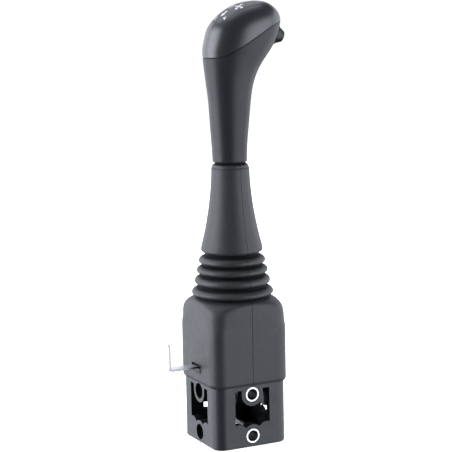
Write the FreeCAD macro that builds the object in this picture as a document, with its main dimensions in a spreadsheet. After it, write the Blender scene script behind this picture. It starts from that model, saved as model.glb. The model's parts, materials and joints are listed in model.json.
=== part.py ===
import FreeCAD, Part
import math
import os
import re

import Sketcher

document = FreeCAD.newDocument("CableJoystick")
sheet = document.addObject("Spreadsheet::Sheet", "Sizes")

# Driving sizes, in millimetres and degrees. The base's bottom face lies on Z = 0, the lever
# stands along Z, the grip's front points along +X and the sleeves of the base lie along Y.
SIZES = [
    # Base housing: a square foot with windows, and a narrower crown that the boot covers
    ("base_width", 60),
    ("base_corner", 8.5),
    ("base_wall", 5),
    ("floor_thickness", 3),
    ("crown_wall", 3.3),
    ("crown_over_pivot", 9),
    ("window_half", 14.4),
    ("window_foot_rise", 6.65),
    ("window_lintel", 3.2),
    ("window_bump_radius", 6.7),
    ("window_bump_offset", 11.5),
    ("window_bump_rise", 3.1),
    ("boss_radius", 8.8),
    ("boss_depth", 7),
    ("edge_break", 0.8),
    # Mounting sleeves, one above the other, and the rim above them
    ("sleeve_low", 8.4),
    ("sleeve_spacing", 32),
    ("sleeve_outside", 12),
    ("sleeve_bore", 8.4),
    ("sleeve_chamfer", 0.5),
    ("rim_over_sleeve", 7.1),
    # Conduit bores in the floor
    ("conduit_bore", 10.2),
    # Clearances
    ("running_fit", 0.05),
    ("side_play", 0.4),
    ("soft_gap", 0.3),
    # Pivot, above the rim
    ("pivot_rise", 40.5),
    ("ring_boss_face", 17),
    ("yoke_boss_length", 4.2),
    ("bearing_boss_radius", 6.5),
    ("bush_outside", 8.5),
    ("bush_flange", 11),
    ("bush_flange_thickness", 0.3),
    ("trunnion_diameter", 6),
    # Gimbal ring, which turns about Y
    ("ring_half_x", 11.5),
    ("ring_half_y", 13.5),
    ("ring_half_height", 4.5),
    ("ring_wall_x", 4.5),
    ("ring_wall_y", 3.6),
    ("ring_boss_radius", 5),
    # Arms that pull the two cables
    ("cable_room", 1),
    ("arm_offset", 0.5),
    ("arm_thickness", 4),
    # Hub that turns about X inside the ring, and the tail that the lock holds
    ("hub_half_y", 6.5),
    ("hub_half_height", 7),
    ("collar_radius", 7.2),
    ("collar_top", 12),
    ("tail_radius", 4.5),
    ("tail_length", 22),
    ("tail_notch_depth", 2.5),
    # Slotted yoke, which turns about X
    ("yoke_leg_thickness", 4),
    ("yoke_leg_half", 3.5),
    ("yoke_eye_radius", 7),
    ("bridge_height", 15),
    ("bridge_thickness", 4),
    ("bridge_bar", 3),
    ("slot_play", 0.7),
    ("slot_end", 7.3),
    # Lever shaft and its nut
    ("shaft_radius", 6),
    ("shaft_in_grip", 47.5),
    ("shaft_seat", 4.5),
    ("shaft_chamfer", 1),
    ("jam_nut_width", 19),
    ("jam_nut_thickness", 9),
    # Cable ends: clevis, pin, rod, nuts and socket
    ("fork_width", 10),
    ("fork_reach", 15),
    ("fork_slot_depth", 9.5),
    ("fork_neck_radius", 4.5),
    ("fork_neck", 5),
    ("fork_pin", 5),
    ("pin_overhang", 1.2),
    ("pin_head_radius", 3.8),
    ("pin_head", 1.2),
    ("clip_radius", 3.6),
    ("clip_thickness", 0.7),
    ("rod_diameter", 5),
    ("rod_nut_width", 8),
    ("rod_nut_thickness", 3),
    ("socket_radius", 5),
    ("socket_rise", 25),
    ("socket_length", 20),
    ("socket_thread", 4.2),
    ("socket_thread_depth", 10),
    # Lock: a bent strip that slides through the housing into the tail
    ("strip_thickness", 1.5),
    ("strip_width", 9),
    ("strip_bend", 2.5),
    ("tab_reach", 25),
    ("tab_rise", 21),
    ("riser_play", 0.8),
    ("tongue_drop", 14.5),
    ("tongue_length", 2.7),
    ("tongue_width", 4),
    ("tongue_neck", 6),
    ("strip_play", 0.2),
    ("guide_gap", 2),
    ("guide_height", 9.5),
    ("guide_wall", 3),
    ("guide_length", 17),
    ("guide_cheek", 1.3),
    ("guide_screw_spread", 3),
    ("guide_screw", 3),
    ("guide_screw_head", 5.5),
    # Rubber boot
    ("boot_wall", 2.4),
    ("shoulder_round", 13.8),
    ("shoulder_relief", 0.6),
    ("bellows_rings", 5),
    ("bellows_foot_rise", 3.9),
    ("bellows_length", 33),
    ("bellows_inset", 0.6),
    ("bellows_top_radius", 22.8),
    ("bellows_lip", 1.9),
    ("bellows_depth", 5),
    ("boot_recess", 3.1),
    ("cone_step", 0.6),
    ("cone_step_rise", 0.4),
    ("boot_top_radius", 14.2),
    ("cone_flare", 263),
    ("boot_slot_half", 7),
    ("boot_slot_below", 3),
    ("boot_slot_above", 1.5),
    ("boot_lip", 1.1),
    ("boot_lip_border", 1.6),
    # Grip, with its foot above the pivot and its other heights above its foot
    ("stick_reach", 124.5),
    ("spigot_radius", 11.5),
    ("spigot_length", 8.5),
    ("grip_wall", 2.6),
    ("hollow_rise", 51.5),
    ("insert_radius", 9),
    ("insert_rise", 3.5),
    ("insert_length", 30),
    ("inlay_depth", 1.2),
    ("inlay_half", 11.2),
    ("inlay_back", 10.8),
    ("inlay_corner", 6.8),
    ("inlay_shoulder", 14),
    ("inlay_side_radius", 33),
    ("inlay_bend", 27),
    ("seam_level", 77.9),
    ("seam_flat_end", 18.8),
    ("seam_rear_radius", 24.3),
    ("seam_slope", 30.2),
    ("seam_bend_x", 17.8),
    ("seam_front_radius", 79),
    # Push button on the grip's front
    ("button_x", 38.9),
    ("button_level", 93.5),
    ("button_droop", 17),
    ("button_radius", 5.7),
    ("button_proud", 4.8),
    ("button_travel", 2.5),
    ("button_round", 1.2),
    ("button_play", 0.3),
    ("bezel_wall", 1.4),
    ("bezel_depth", 8),
    ("bezel_proud", 0.6),
    ("bezel_break", 0.45),
    ("button_skirt", 1.2),
    ("button_depth", 4),
    ("switch_gap", 2.4),
    ("stem_in_switch", 4.8),
    ("spring_seat_depth", 1.2),
    ("spring_break", 0.1),
    ("switch_radius", 6.6),
    ("switch_length", 13),
    ("switch_stem_radius", 2),
    ("button_spring_wire", 0.8),
    # Grip's cross sections: rise from the one below, back and front edge along X, half width
    ("grip_rise_0", 0), ("grip_back_0", -13), ("grip_front_0", 12.5), ("grip_half_0", 12.6),
    ("grip_rise_1", 14.5), ("grip_back_1", -13.7), ("grip_front_1", 13.1), ("grip_half_1", 13.1),
    ("grip_rise_2", 15), ("grip_back_2", -14.7), ("grip_front_2", 14.7), ("grip_half_2", 13.8),
    ("grip_rise_3", 15.5), ("grip_back_3", -15.6), ("grip_front_3", 16.4), ("grip_half_3", 14.6),
    ("grip_rise_4", 14.5), ("grip_back_4", -17.2), ("grip_front_4", 19.2), ("grip_half_4", 16),
    ("grip_rise_5", 12), ("grip_back_5", -18.5), ("grip_front_5", 24.7), ("grip_half_5", 18),
    ("grip_rise_6", 7), ("grip_back_6", -19.1), ("grip_front_6", 29.8), ("grip_half_6", 19.4),
    ("grip_rise_7", 7), ("grip_back_7", -18.9), ("grip_front_7", 35), ("grip_half_7", 20.6),
    ("grip_rise_8", 6.5), ("grip_back_8", -17.3), ("grip_front_8", 38.5), ("grip_half_8", 21),
    ("grip_rise_9", 6.5), ("grip_back_9", -15.2), ("grip_front_9", 40.8), ("grip_half_9", 20.6),
    ("grip_rise_10", 6), ("grip_back_10", -11), ("grip_front_10", 42), ("grip_half_10", 19.2),
    ("grip_rise_11", 5.5), ("grip_back_11", -4.7), ("grip_front_11", 40.4), ("grip_half_11", 16.6),
    ("grip_rise_12", 4), ("grip_back_12", 1.6), ("grip_front_12", 37), ("grip_half_12", 13.4),
    ("grip_rise_13", 2.8), ("grip_back_13", 8.2), ("grip_front_13", 33), ("grip_half_13", 9.6),
    ("grip_rise_14", 1.7), ("grip_back_14", 16.5), ("grip_front_14", 27), ("grip_half_14", 4.5),
]

for row, (alias, number) in enumerate(SIZES, start=1):
    sheet.set(f"A{row}", alias)
    sheet.set(f"B{row}", str(number))
    sheet.setAlias(f"B{row}", alias)

document.recompute()

ALIASES = {alias for alias, number in SIZES}
STATIONS = sum(alias.startswith("grip_rise_") for alias in ALIASES)

# Places that several pieces share, worked out from the driving sizes
CAVITY_HALF = "(base_width / 2 - base_wall)"
CAVITY_CORNER = "(base_corner - base_wall)"
CROWN_HALF = f"({CAVITY_HALF} + crown_wall)"
CROWN_CORNER = f"({CAVITY_CORNER} + crown_wall)"
SKIRT_INNER_HALF = f"({CROWN_HALF} + soft_gap)"
SKIRT_INNER_CORNER = f"({CROWN_CORNER} + soft_gap)"
SKIRT_HALF = f"({SKIRT_INNER_HALF} + boot_wall)"
SKIRT_CORNER = f"({SKIRT_INNER_CORNER} + boot_wall)"
SLEEVE_HIGH = "(sleeve_low + sleeve_spacing)"
BASE_HEIGHT = f"({SLEEVE_HIGH} + rim_over_sleeve)"
PIVOT = f"({BASE_HEIGHT} + pivot_rise)"
CROWN_TOP = f"({PIVOT} + crown_over_pivot)"
TRUNNION = "(trunnion_diameter / 2)"
RING_INNER_X = "(ring_half_x - ring_wall_x)"
RING_INNER_Y = "(ring_half_y - ring_wall_y)"
YOKE_BOSS_FACE = f"({CAVITY_HALF} - yoke_boss_length)"
YOKE_LEG_OUTER = f"({YOKE_BOSS_FACE} - bush_flange_thickness - side_play)"
YOKE_LEG_INNER = f"({YOKE_LEG_OUTER} - yoke_leg_thickness)"
YOKE_ARM_X = f"({YOKE_LEG_OUTER} - yoke_leg_thickness / 2)"
CABLE_LEVER = f"({CAVITY_HALF} - fork_width / 2 - cable_room)"
FORE_AFT_CABLE_Y = "(ring_half_y + arm_offset)"
SLOT_HALF = "(shaft_radius + slot_play)"
BRIDGE_HALF = f"({SLOT_HALF} + bridge_bar)"
SHAFT_FOOT = f"({PIVOT} + shaft_seat)"
GUIDE_FOOT = f"({BASE_HEIGHT} + guide_gap)"
STRIP_FOOT = f"({GUIDE_FOOT} + guide_height)"
STRIP_TOP = f"({STRIP_FOOT} + strip_thickness)"
GUIDE_TOP = f"({STRIP_FOOT} - strip_play)"
WALL_SCREW_LEVEL = f"({GUIDE_FOOT} + guide_wall)"
TAB_OUTSIDE = f"({SKIRT_HALF} + tab_reach)"
TAB_TOP = f"({STRIP_FOOT} + tab_rise)"
TONGUE_FOOT = f"({PIVOT} - tongue_drop)"
RISER_INNER = f"({CAVITY_HALF} - riser_play - strip_thickness)"
SOCKET_FOOT = "(floor_thickness + socket_rise)"
SOCKET_TOP = f"({SOCKET_FOOT} + socket_length)"
ROD_FOOT = f"({SOCKET_FOOT} + socket_thread_depth)"
SHOULDER_TOP = f"({CROWN_TOP} + shoulder_round)"
BELLOWS_FOOT = f"({SHOULDER_TOP} + bellows_foot_rise)"
BELLOWS_FOOT_RADIUS = f"({SKIRT_HALF} - bellows_inset)"
GRIP_FOOT = f"({PIVOT} + stick_reach)"
BOOT_TOP = f"({GRIP_FOOT} - boot_recess)"
SPIGOT_FOOT = f"({GRIP_FOOT} - spigot_length)"


def bound(expression):
    """Expression in which each size's name is looked up on the sheet."""
    return re.sub(
        r"[a-z][a-z_0-9]*",
        lambda word: f"Sizes.{word.group()}" if word.group() in ALIASES else word.group(),
        str(expression),
    )


def value(expression):
    """Number that an expression gives now."""
    result = sheet.evalExpression(bound(expression))
    return float(getattr(result, "Value", result))


def bind(item, **expressions):
    """Bind properties of an object to expressions on the sheet."""
    for name, expression in expressions.items():
        item.setExpression(name.replace("__", "."), bound(expression))


def place(item, x="0", y="0", z="0", axis=(0, 0, 1), angle="0"):
    """Put an object at a bound place, turned by a bound angle about an axis."""
    rotation = FreeCAD.Rotation(FreeCAD.Vector(*axis), value(angle))
    item.Placement = FreeCAD.Placement(FreeCAD.Vector(), rotation)
    if angle not in ("0", "90", "-90", "180"):
        item.setExpression("Placement.Rotation.Angle", bound(angle))
    for letter, expression in zip("xyz", (x, y, z)):
        item.setExpression(f"Placement.Base.{letter}", bound(expression))


def new_body(label):
    """Empty body for one piece."""
    body = document.addObject("PartDesign::Body", label)
    body.Label = label
    return body


def origin_feature(body, role):
    """Plane or axis of a body's own origin, such as XY_Plane or Z_Axis."""
    return next(item for item in body.Origin.OriginFeatures if item.Role == role)


def new_sketch(body, role, offset="0"):
    """Sketch on one of the body's own origin planes, moved along its normal."""
    sketch = body.newObject("Sketcher::SketchObject", f"{body.Label}_sketch")
    sketch.AttachmentSupport = [(origin_feature(body, role), "")]
    sketch.MapMode = "FlatFace"
    sketch.setExpression("AttachmentOffset.Base.z", bound(offset))
    return sketch


def dimension(sketch, kind, places, expression):
    """Constraint of a sketch whose number is bound to the sheet."""
    number = sketch.addConstraint(Sketcher.Constraint(kind, *places, value(expression)))
    sketch.setExpression(f"Constraints[{number}]", bound(expression))


def outline(sketch, corners):
    """Closed outline. A corner is (x, y), and one that starts an arc to the next corner
    adds the arc's centre and its turn: 1 anticlockwise, -1 clockwise."""
    ends = []
    count = len(corners)
    for index, corner in enumerate(corners):
        following = corners[(index + 1) % count]
        start = FreeCAD.Vector(value(corner[0]), value(corner[1]), 0)
        end = FreeCAD.Vector(value(following[0]), value(following[1]), 0)
        if len(corner) == 2:
            ends.append((sketch.addGeometry(Part.LineSegment(start, end)), 1, 2))
            continue
        centre = FreeCAD.Vector(value(corner[2]), value(corner[3]), 0)
        angles = [math.atan2(point.y - centre.y, point.x - centre.x) for point in (start, end)]
        turn = corner[4]
        circle = Part.Circle(centre, FreeCAD.Vector(0, 0, 1), (start - centre).Length)
        number = sketch.addGeometry(Part.ArcOfCircle(circle, *angles[::turn]))
        ends.append((number, 1, 2) if turn > 0 else (number, 2, 1))
        across = abs(end.x - start.x) > abs(end.y - start.y)
        if across:
            dimension(sketch, "DistanceY", (-1, 1, number, 3), corner[3])
        else:
            dimension(sketch, "DistanceX", (-1, 1, number, 3), corner[2])
    for index, corner in enumerate(corners):
        number, first, last = ends[index]
        following, following_first, following_last = ends[(index + 1) % count]
        sketch.addConstraint(Sketcher.Constraint("Coincident", number, last, following, following_first))
        dimension(sketch, "DistanceX", (-1, 1, number, first), corner[0])
        dimension(sketch, "DistanceY", (-1, 1, number, first), corner[1])


def disc(sketch, x, y, radius):
    """Circle with a bound centre and radius."""
    centre = FreeCAD.Vector(value(x), value(y), 0)
    number = sketch.addGeometry(Part.Circle(centre, FreeCAD.Vector(0, 0, 1), value(radius)))
    dimension(sketch, "DistanceX", (-1, 1, number, 3), x)
    dimension(sketch, "DistanceY", (-1, 1, number, 3), y)
    dimension(sketch, "Radius", (number,), radius)


def rectangle(left, right, low, high):
    """Corners of a rectangle."""
    return [(left, low), (right, low), (right, high), (left, high)]


def rounded_square(half, corner):
    """Corners and arcs of a square with rounded corners."""
    inner = f"({half} - {corner})"
    return [
        (f"-{inner}", f"-{half}"),
        (inner, f"-{half}", inner, f"-{inner}", 1),
        (half, f"-{inner}"),
        (half, inner, inner, inner, 1),
        (inner, half),
        (f"-{inner}", half, f"-{inner}", inner, 1),
        (f"-{half}", inner),
        (f"-{half}", f"-{inner}", f"-{inner}", f"-{inner}", 1),
    ]


def stadium(half_length, radius):
    """Corners of a slot with round ends: the ends' centres lie at the half length."""
    return [
        (f"-{half_length}", f"-{radius}"),
        (half_length, f"-{radius}", half_length, "0", 1),
        (half_length, radius),
        (f"-{half_length}", radius, f"-{half_length}", "0", 1),
    ]


def pad(body, sketch, length, backwards=False, both_ways=False):
    """Add the sketch's area, drawn out along its normal."""
    feature = body.newObject("PartDesign::Pad", f"{body.Label}_pad")
    feature.Profile = sketch
    bind(feature, Length=length)
    feature.Reversed = backwards
    feature.Midplane = both_ways
    body.Tip = feature
    return feature


def cut_check(body, feature):
    """Stop if a cut takes nothing away."""
    document.recompute()
    before = feature.BaseFeature.Shape.Volume
    if feature.Shape.isNull() or feature.Shape.Volume > before - 1e-3:
        raise RuntimeError(f"{feature.Name} of {body.Label} cuts nothing")


def pocket(body, sketch, length=None, backwards=False, both_ways=False):
    """Cut the sketch's area away, right through or to a depth."""
    feature = body.newObject("PartDesign::Pocket", f"{body.Label}_pocket")
    feature.Profile = sketch
    if length is None:
        feature.Type = "ThroughAll"
    else:
        bind(feature, Length=length)
    feature.Reversed = backwards
    feature.Midplane = both_ways
    body.Tip = feature
    cut_check(body, feature)
    return feature


def revolve(body, sketch, cuts=False):
    """Turn the sketch's area about its vertical axis, to add it or to cut it away."""
    kind = "Groove" if cuts else "Revolution"
    feature = body.newObject(f"PartDesign::{kind}", f"{body.Label}_{kind.lower()}")
    feature.Profile = sketch
    feature.ReferenceAxis = (sketch, ["V_Axis"])
    feature.Angle = 360
    body.Tip = feature
    if cuts:
        cut_check(body, feature)
    return feature


def turned(label, corners):
    """Body turned on a lathe, from corners given as radius and height."""
    body = new_body(label)
    sketch = new_sketch(body, "XZ_Plane")
    outline(sketch, corners)
    revolve(body, sketch)
    return body


def tube(label, outer, inner, low, high, chamfer):
    """Turned tube with chamfered outer edges."""
    return turned(label, [
        (inner, low),
        (f"{outer} - {chamfer}", low),
        (outer, f"{low} + {chamfer}"),
        (outer, f"{high} - {chamfer}"),
        (f"{outer} - {chamfer}", high),
        (inner, high),
    ])


def hexagon(width):
    """Corners of a hexagon, from its width across flats."""
    return [
        (f"{width} / sqrt(3) * cos({angle})", f"{width} / sqrt(3) * sin({angle})")
        for angle in range(0, 360, 60)
    ]


def nut(label, width, thickness, bore_radius):
    """Hexagon nut that stands on its own XY plane."""
    body = new_body(label)
    sketch = new_sketch(body, "XY_Plane")
    outline(sketch, hexagon(width))
    disc(sketch, "0", "0", bore_radius)
    pad(body, sketch, thickness)
    corner_cut = new_sketch(body, "XZ_Plane")
    corner = f"{width} / sqrt(3)"
    outline(corner_cut, [
        (f"{width} / 2", thickness),
        (f"{corner} + 1", thickness),
        (f"{corner} + 1", f"{thickness} - ({corner} + 1 - {width} / 2) * tan(30)"),
    ])
    revolve(body, corner_cut, cuts=True)
    return body


def boolean(kind, label, base, *tools):
    """Part boolean of finished shapes: Cut, Common or MultiFuse."""
    item = document.addObject(f"Part::{kind}", label)
    item.Label = label
    if kind == "MultiFuse":
        item.Shapes = [base, *tools]
    else:
        item.Base, item.Tool = base, tools[0]
    return item


def rod_solid(label, radius, low, high):
    """Plain cylinder between two heights of its own axis."""
    item = document.addObject("Part::Cylinder", label)
    item.Label = label
    bind(item, Radius=radius, Height=f"({high}) - ({low})")
    return item


def mirrored_pad(body, role, sketch_of, near, far):
    """Add a sketch's area on both sides of a plane, from a near to a far distance."""
    for backwards, offset in ((False, near), (True, f"-({near})")):
        sketch = new_sketch(body, role, offset)
        sketch_of(sketch)
        pad(body, sketch, f"({far}) - ({near})", backwards=backwards)


def base_housing():
    """Square foot with a window and two bosses in each side, and the crown with the bearings."""
    body = new_body("base_housing")
    foot = new_sketch(body, "XY_Plane")
    outline(foot, rounded_square("(base_width / 2)", "base_corner"))
    block = pad(body, foot, BASE_HEIGHT)
    document.recompute()
    rim = body.newObject("PartDesign::Chamfer", "base_rim_break")
    rim.Base = (block, [
        f"Edge{number}" for number, edge in enumerate(block.Shape.Edges, start=1)
        if abs(edge.BoundBox.ZMax) < 1e-6
    ])
    bind(rim, Size="edge_break")
    body.Tip = rim
    crown = new_sketch(body, "XY_Plane")
    outline(crown, rounded_square(CROWN_HALF, CROWN_CORNER))
    pad(body, crown, CROWN_TOP)
    cavity = new_sketch(body, "XY_Plane", "floor_thickness")
    outline(cavity, rounded_square(CAVITY_HALF, CAVITY_CORNER))
    pocket(body, cavity, f"{CROWN_TOP} - floor_thickness", backwards=True)

    window_foot = "(sleeve_low + window_foot_rise)"
    window_top = f"({BASE_HEIGHT} - window_lintel)"
    for role in ("XZ_Plane", "YZ_Plane"):
        window = new_sketch(body, role)
        outline(window, rectangle("-window_half", "window_half", window_foot, window_top))
        pocket(body, window, both_ways=True)

    scallops = new_sketch(body, "XZ_Plane", CAVITY_HALF)
    for side in ("-", ""):
        disc(scallops, f"{side}window_bump_offset", "sleeve_low + window_bump_rise", "window_bump_radius")
    bumps = pad(body, scallops, "base_wall")
    boss_outline = new_sketch(body, "XZ_Plane", "base_width / 2")
    outline(boss_outline, [
        ("-boss_radius", "edge_break"),
        ("boss_radius", "edge_break"),
        ("boss_radius", "sleeve_low", "0", "sleeve_low", 1),
        ("-boss_radius", "sleeve_low"),
    ])
    outline(boss_outline, [
        ("boss_radius", BASE_HEIGHT),
        ("-boss_radius", BASE_HEIGHT),
        ("-boss_radius", SLEEVE_HIGH, "0", SLEEVE_HIGH, 1),
        ("boss_radius", SLEEVE_HIGH),
    ])
    bosses = pad(body, boss_outline, "boss_depth", backwards=True)
    around = body.newObject("PartDesign::PolarPattern", "four_sides")
    around.Originals = [bumps, bosses]
    around.Axis = (origin_feature(body, "Z_Axis"), [""])
    around.Angle = 360
    around.Occurrences = 4
    body.Tip = around

    for role, face in (("XZ_Plane", "ring_boss_face"), ("YZ_Plane", YOKE_BOSS_FACE)):
        mirrored_pad(
            body, role,
            lambda sketch: disc(sketch, "0", PIVOT, "bearing_boss_radius"),
            face, f"{CAVITY_HALF} + crown_wall / 2",
        )
        bores = new_sketch(body, role)
        disc(bores, "0", PIVOT, "bush_outside / 2")
        disc(bores, "0", "sleeve_low", "sleeve_outside / 2")
        disc(bores, "0", SLEEVE_HIGH, "sleeve_outside / 2")
        pocket(body, bores, both_ways=True)

    conduits = new_sketch(body, "XY_Plane")
    disc(conduits, f"-{CABLE_LEVER}", FORE_AFT_CABLE_Y, "conduit_bore / 2")
    disc(conduits, YOKE_ARM_X, f"-{CABLE_LEVER}", "conduit_bore / 2")
    pocket(body, conduits, "floor_thickness + 1", backwards=True)

    slot = new_sketch(body, "YZ_Plane", f"-({CAVITY_HALF} - 1)")
    half = "(strip_width / 2 + strip_play)"
    outline(slot, rectangle(f"-{half}", half, GUIDE_TOP, f"{STRIP_TOP} + strip_play"))
    pocket(body, slot, "crown_wall + 2")

    screw_holes = new_sketch(body, "YZ_Plane", f"-({CAVITY_HALF} - 1)")
    for side in ("-", ""):
        disc(screw_holes, f"{side}guide_screw_spread", WALL_SCREW_LEVEL, "guide_screw / 2")
    pocket(body, screw_holes, "crown_wall + 2")
    head_seats = new_sketch(body, "YZ_Plane", f"-({CROWN_HALF} - guide_screw_head / 2 + guide_screw / 2)")
    for side in ("-", ""):
        disc(head_seats, f"{side}guide_screw_spread", WALL_SCREW_LEVEL, "guide_screw_head / 2")
    pocket(body, head_seats, "guide_screw_head")
    return body


def mounting_sleeves():
    """Steel tubes along Y, pressed into the bosses."""
    made = []
    for label, height in (("lower_mounting_sleeve", "sleeve_low"), ("upper_mounting_sleeve", SLEEVE_HIGH)):
        sleeve = tube(
            label, "sleeve_outside / 2", "sleeve_bore / 2", "-base_width / 2", "base_width / 2", "sleeve_chamfer",
        )
        place(sleeve, z=height, axis=(1, 0, 0), angle="90")
        made.append(sleeve)
    return made


def pivot_bushes():
    """Bushes in the four bearing bosses, each with a thin thrust flange on the boss face."""
    made = []
    sides = (
        ("fore_aft_left_bush", "ring_boss_face", (1, 0, 0), "90", ("0", "-1")),
        ("fore_aft_right_bush", "ring_boss_face", (1, 0, 0), "-90", ("0", "1")),
        ("lateral_front_bush", YOKE_BOSS_FACE, (0, 1, 0), "90", ("1", "0")),
        ("lateral_rear_bush", YOKE_BOSS_FACE, (0, 1, 0), "-90", ("-1", "0")),
    )
    for label, face, axis, angle, (way_x, way_y) in sides:
        bore = f"({TRUNNION} + running_fit)"
        bush = turned(label, [
            (bore, "-bush_flange_thickness"),
            ("bush_flange / 2", "-bush_flange_thickness"),
            ("bush_flange / 2", "0"),
            ("bush_outside / 2", "0"),
            ("bush_outside / 2", f"{CROWN_HALF} - {face}"),
            (bore, f"{CROWN_HALF} - {face}"),
        ])
        place(bush, x=f"{way_x} * {face}", y=f"{way_y} * {face}", z=PIVOT, axis=axis, angle=angle)
        made.append(bush)
    return made


def trunnion_pins():
    """Pins that carry the gimbal ring along Y and the yoke along X."""
    made = []
    sides = (
        ("fore_aft_left_pin", RING_INNER_Y, (1, 0, 0), "90", ("0", "-1")),
        ("fore_aft_right_pin", RING_INNER_Y, (1, 0, 0), "-90", ("0", "1")),
        ("lateral_front_pin", YOKE_LEG_INNER, (0, 1, 0), "90", ("1", "0")),
        ("lateral_rear_pin", YOKE_LEG_INNER, (0, 1, 0), "-90", ("-1", "0")),
    )
    for label, start, axis, angle, (way_x, way_y) in sides:
        end = f"({CROWN_HALF} - side_play - {start})"
        pin = turned(label, [
            ("0", "0"),
            (TRUNNION, "0"),
            (TRUNNION, f"{end} - edge_break"),
            (f"{TRUNNION} - edge_break", end),
            ("0", end),
        ])
        place(pin, x=f"{way_x} * {start}", y=f"{way_y} * {start}", z=PIVOT, axis=axis, angle=angle)
        made.append(pin)
    return made


def gimbal_ring():
    """Ring that turns about Y, with the arm that pulls the fore and aft cable."""
    body = new_body("gimbal_ring")
    frame = new_sketch(body, "XY_Plane")
    outline(frame, rectangle("-ring_half_x", "ring_half_x", "-ring_half_y", "ring_half_y"))
    outline(frame, rectangle(f"-{RING_INNER_X}", RING_INNER_X, f"-{RING_INNER_Y}", RING_INNER_Y))
    pad(body, frame, "2 * ring_half_height", both_ways=True)
    mirrored_pad(
        body, "XZ_Plane", lambda sketch: disc(sketch, "0", "0", "ring_boss_radius"),
        f"({RING_INNER_Y} + ring_wall_y / 2)", "ring_boss_face - bush_flange_thickness - side_play",
    )
    arm = new_sketch(body, "XZ_Plane", f"-({FORE_AFT_CABLE_Y} - arm_thickness / 2)")
    outline(arm, [
        (f"-{CABLE_LEVER}", "-ring_half_height"),
        ("-ring_half_x / 2", "-ring_half_height"),
        ("-ring_half_x / 2", "ring_half_height"),
        (f"-{CABLE_LEVER}", "ring_half_height", f"-{CABLE_LEVER}", "0", 1),
    ])
    pad(body, arm, "arm_thickness", backwards=True)
    bores = new_sketch(body, "XZ_Plane")
    disc(bores, "0", "0", TRUNNION)
    pocket(body, bores, both_ways=True)
    pin_eye = new_sketch(body, "XZ_Plane")
    disc(pin_eye, f"-{CABLE_LEVER}", "0", "fork_pin / 2 + running_fit")
    pocket(body, pin_eye, both_ways=True)
    cross_bore = new_sketch(body, "YZ_Plane")
    disc(cross_bore, "0", "0", TRUNNION)
    pocket(body, cross_bore, both_ways=True)
    place(body, z=PIVOT)
    return body


def cross_pin():
    """Pin along X that the hub turns on inside the ring."""
    pin = turned("cross_pin", [
        ("0", "-ring_half_x"),
        (f"{TRUNNION} - edge_break", "-ring_half_x"),
        (TRUNNION, "-ring_half_x + edge_break"),
        (TRUNNION, "ring_half_x - edge_break"),
        (f"{TRUNNION} - edge_break", "ring_half_x"),
        ("0", "ring_half_x"),
    ])
    place(pin, z=PIVOT, axis=(0, 1, 0), angle="90")
    return pin


def pivot_hub():
    """Hub on the cross pin: the collar above takes the shaft, and the lock holds the tail below."""
    body = new_body("pivot_hub")
    block = new_sketch(body, "XY_Plane")
    half_x = f"({RING_INNER_X} - side_play)"
    outline(block, rectangle(f"-{half_x}", half_x, "-hub_half_y", "hub_half_y"))
    pad(body, block, "2 * hub_half_height", both_ways=True)
    ends = new_sketch(body, "XZ_Plane")
    outline(ends, [
        ("0", "-tail_length"),
        ("tail_radius - edge_break", "-tail_length"),
        ("tail_radius", "-tail_length + edge_break"),
        ("tail_radius", "0"),
        ("collar_radius", "hub_half_height"),
        ("collar_radius", "collar_top - edge_break"),
        ("collar_radius - edge_break", "collar_top"),
        ("0", "collar_top"),
    ])
    revolve(body, ends)
    cross_bore = new_sketch(body, "YZ_Plane")
    disc(cross_bore, "0", "0", f"{TRUNNION} + running_fit")
    pocket(body, cross_bore, both_ways=True)
    socket = new_sketch(body, "XY_Plane", "shaft_seat")
    disc(socket, "0", "0", "shaft_radius - shaft_chamfer")
    pocket(body, socket, "collar_top", backwards=True)
    notch = new_sketch(body, "XZ_Plane")
    low = "(-tongue_drop - strip_play)"
    high = "(-tongue_drop + strip_thickness + strip_play)"
    outline(notch, rectangle("-tail_radius - 1", "-tail_radius + tail_notch_depth", low, high))
    pocket(body, notch, "tongue_width + 2 * strip_play", both_ways=True)
    place(body, z=PIVOT)
    return body


def lever_shaft():
    """Steel shaft from the hub up into the grip, reduced at its foot, chamfered at its top."""
    foot_radius = "(shaft_radius - shaft_chamfer)"
    shoulder = f"({PIVOT} + collar_top)"
    top = f"({GRIP_FOOT} + shaft_in_grip)"
    return turned("lever_shaft", [
        ("0", SHAFT_FOOT),
        (foot_radius, SHAFT_FOOT),
        (foot_radius, shoulder),
        ("shaft_radius", shoulder),
        ("shaft_radius", f"{top} - shaft_chamfer"),
        (foot_radius, top),
        ("0", top),
    ])


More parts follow.
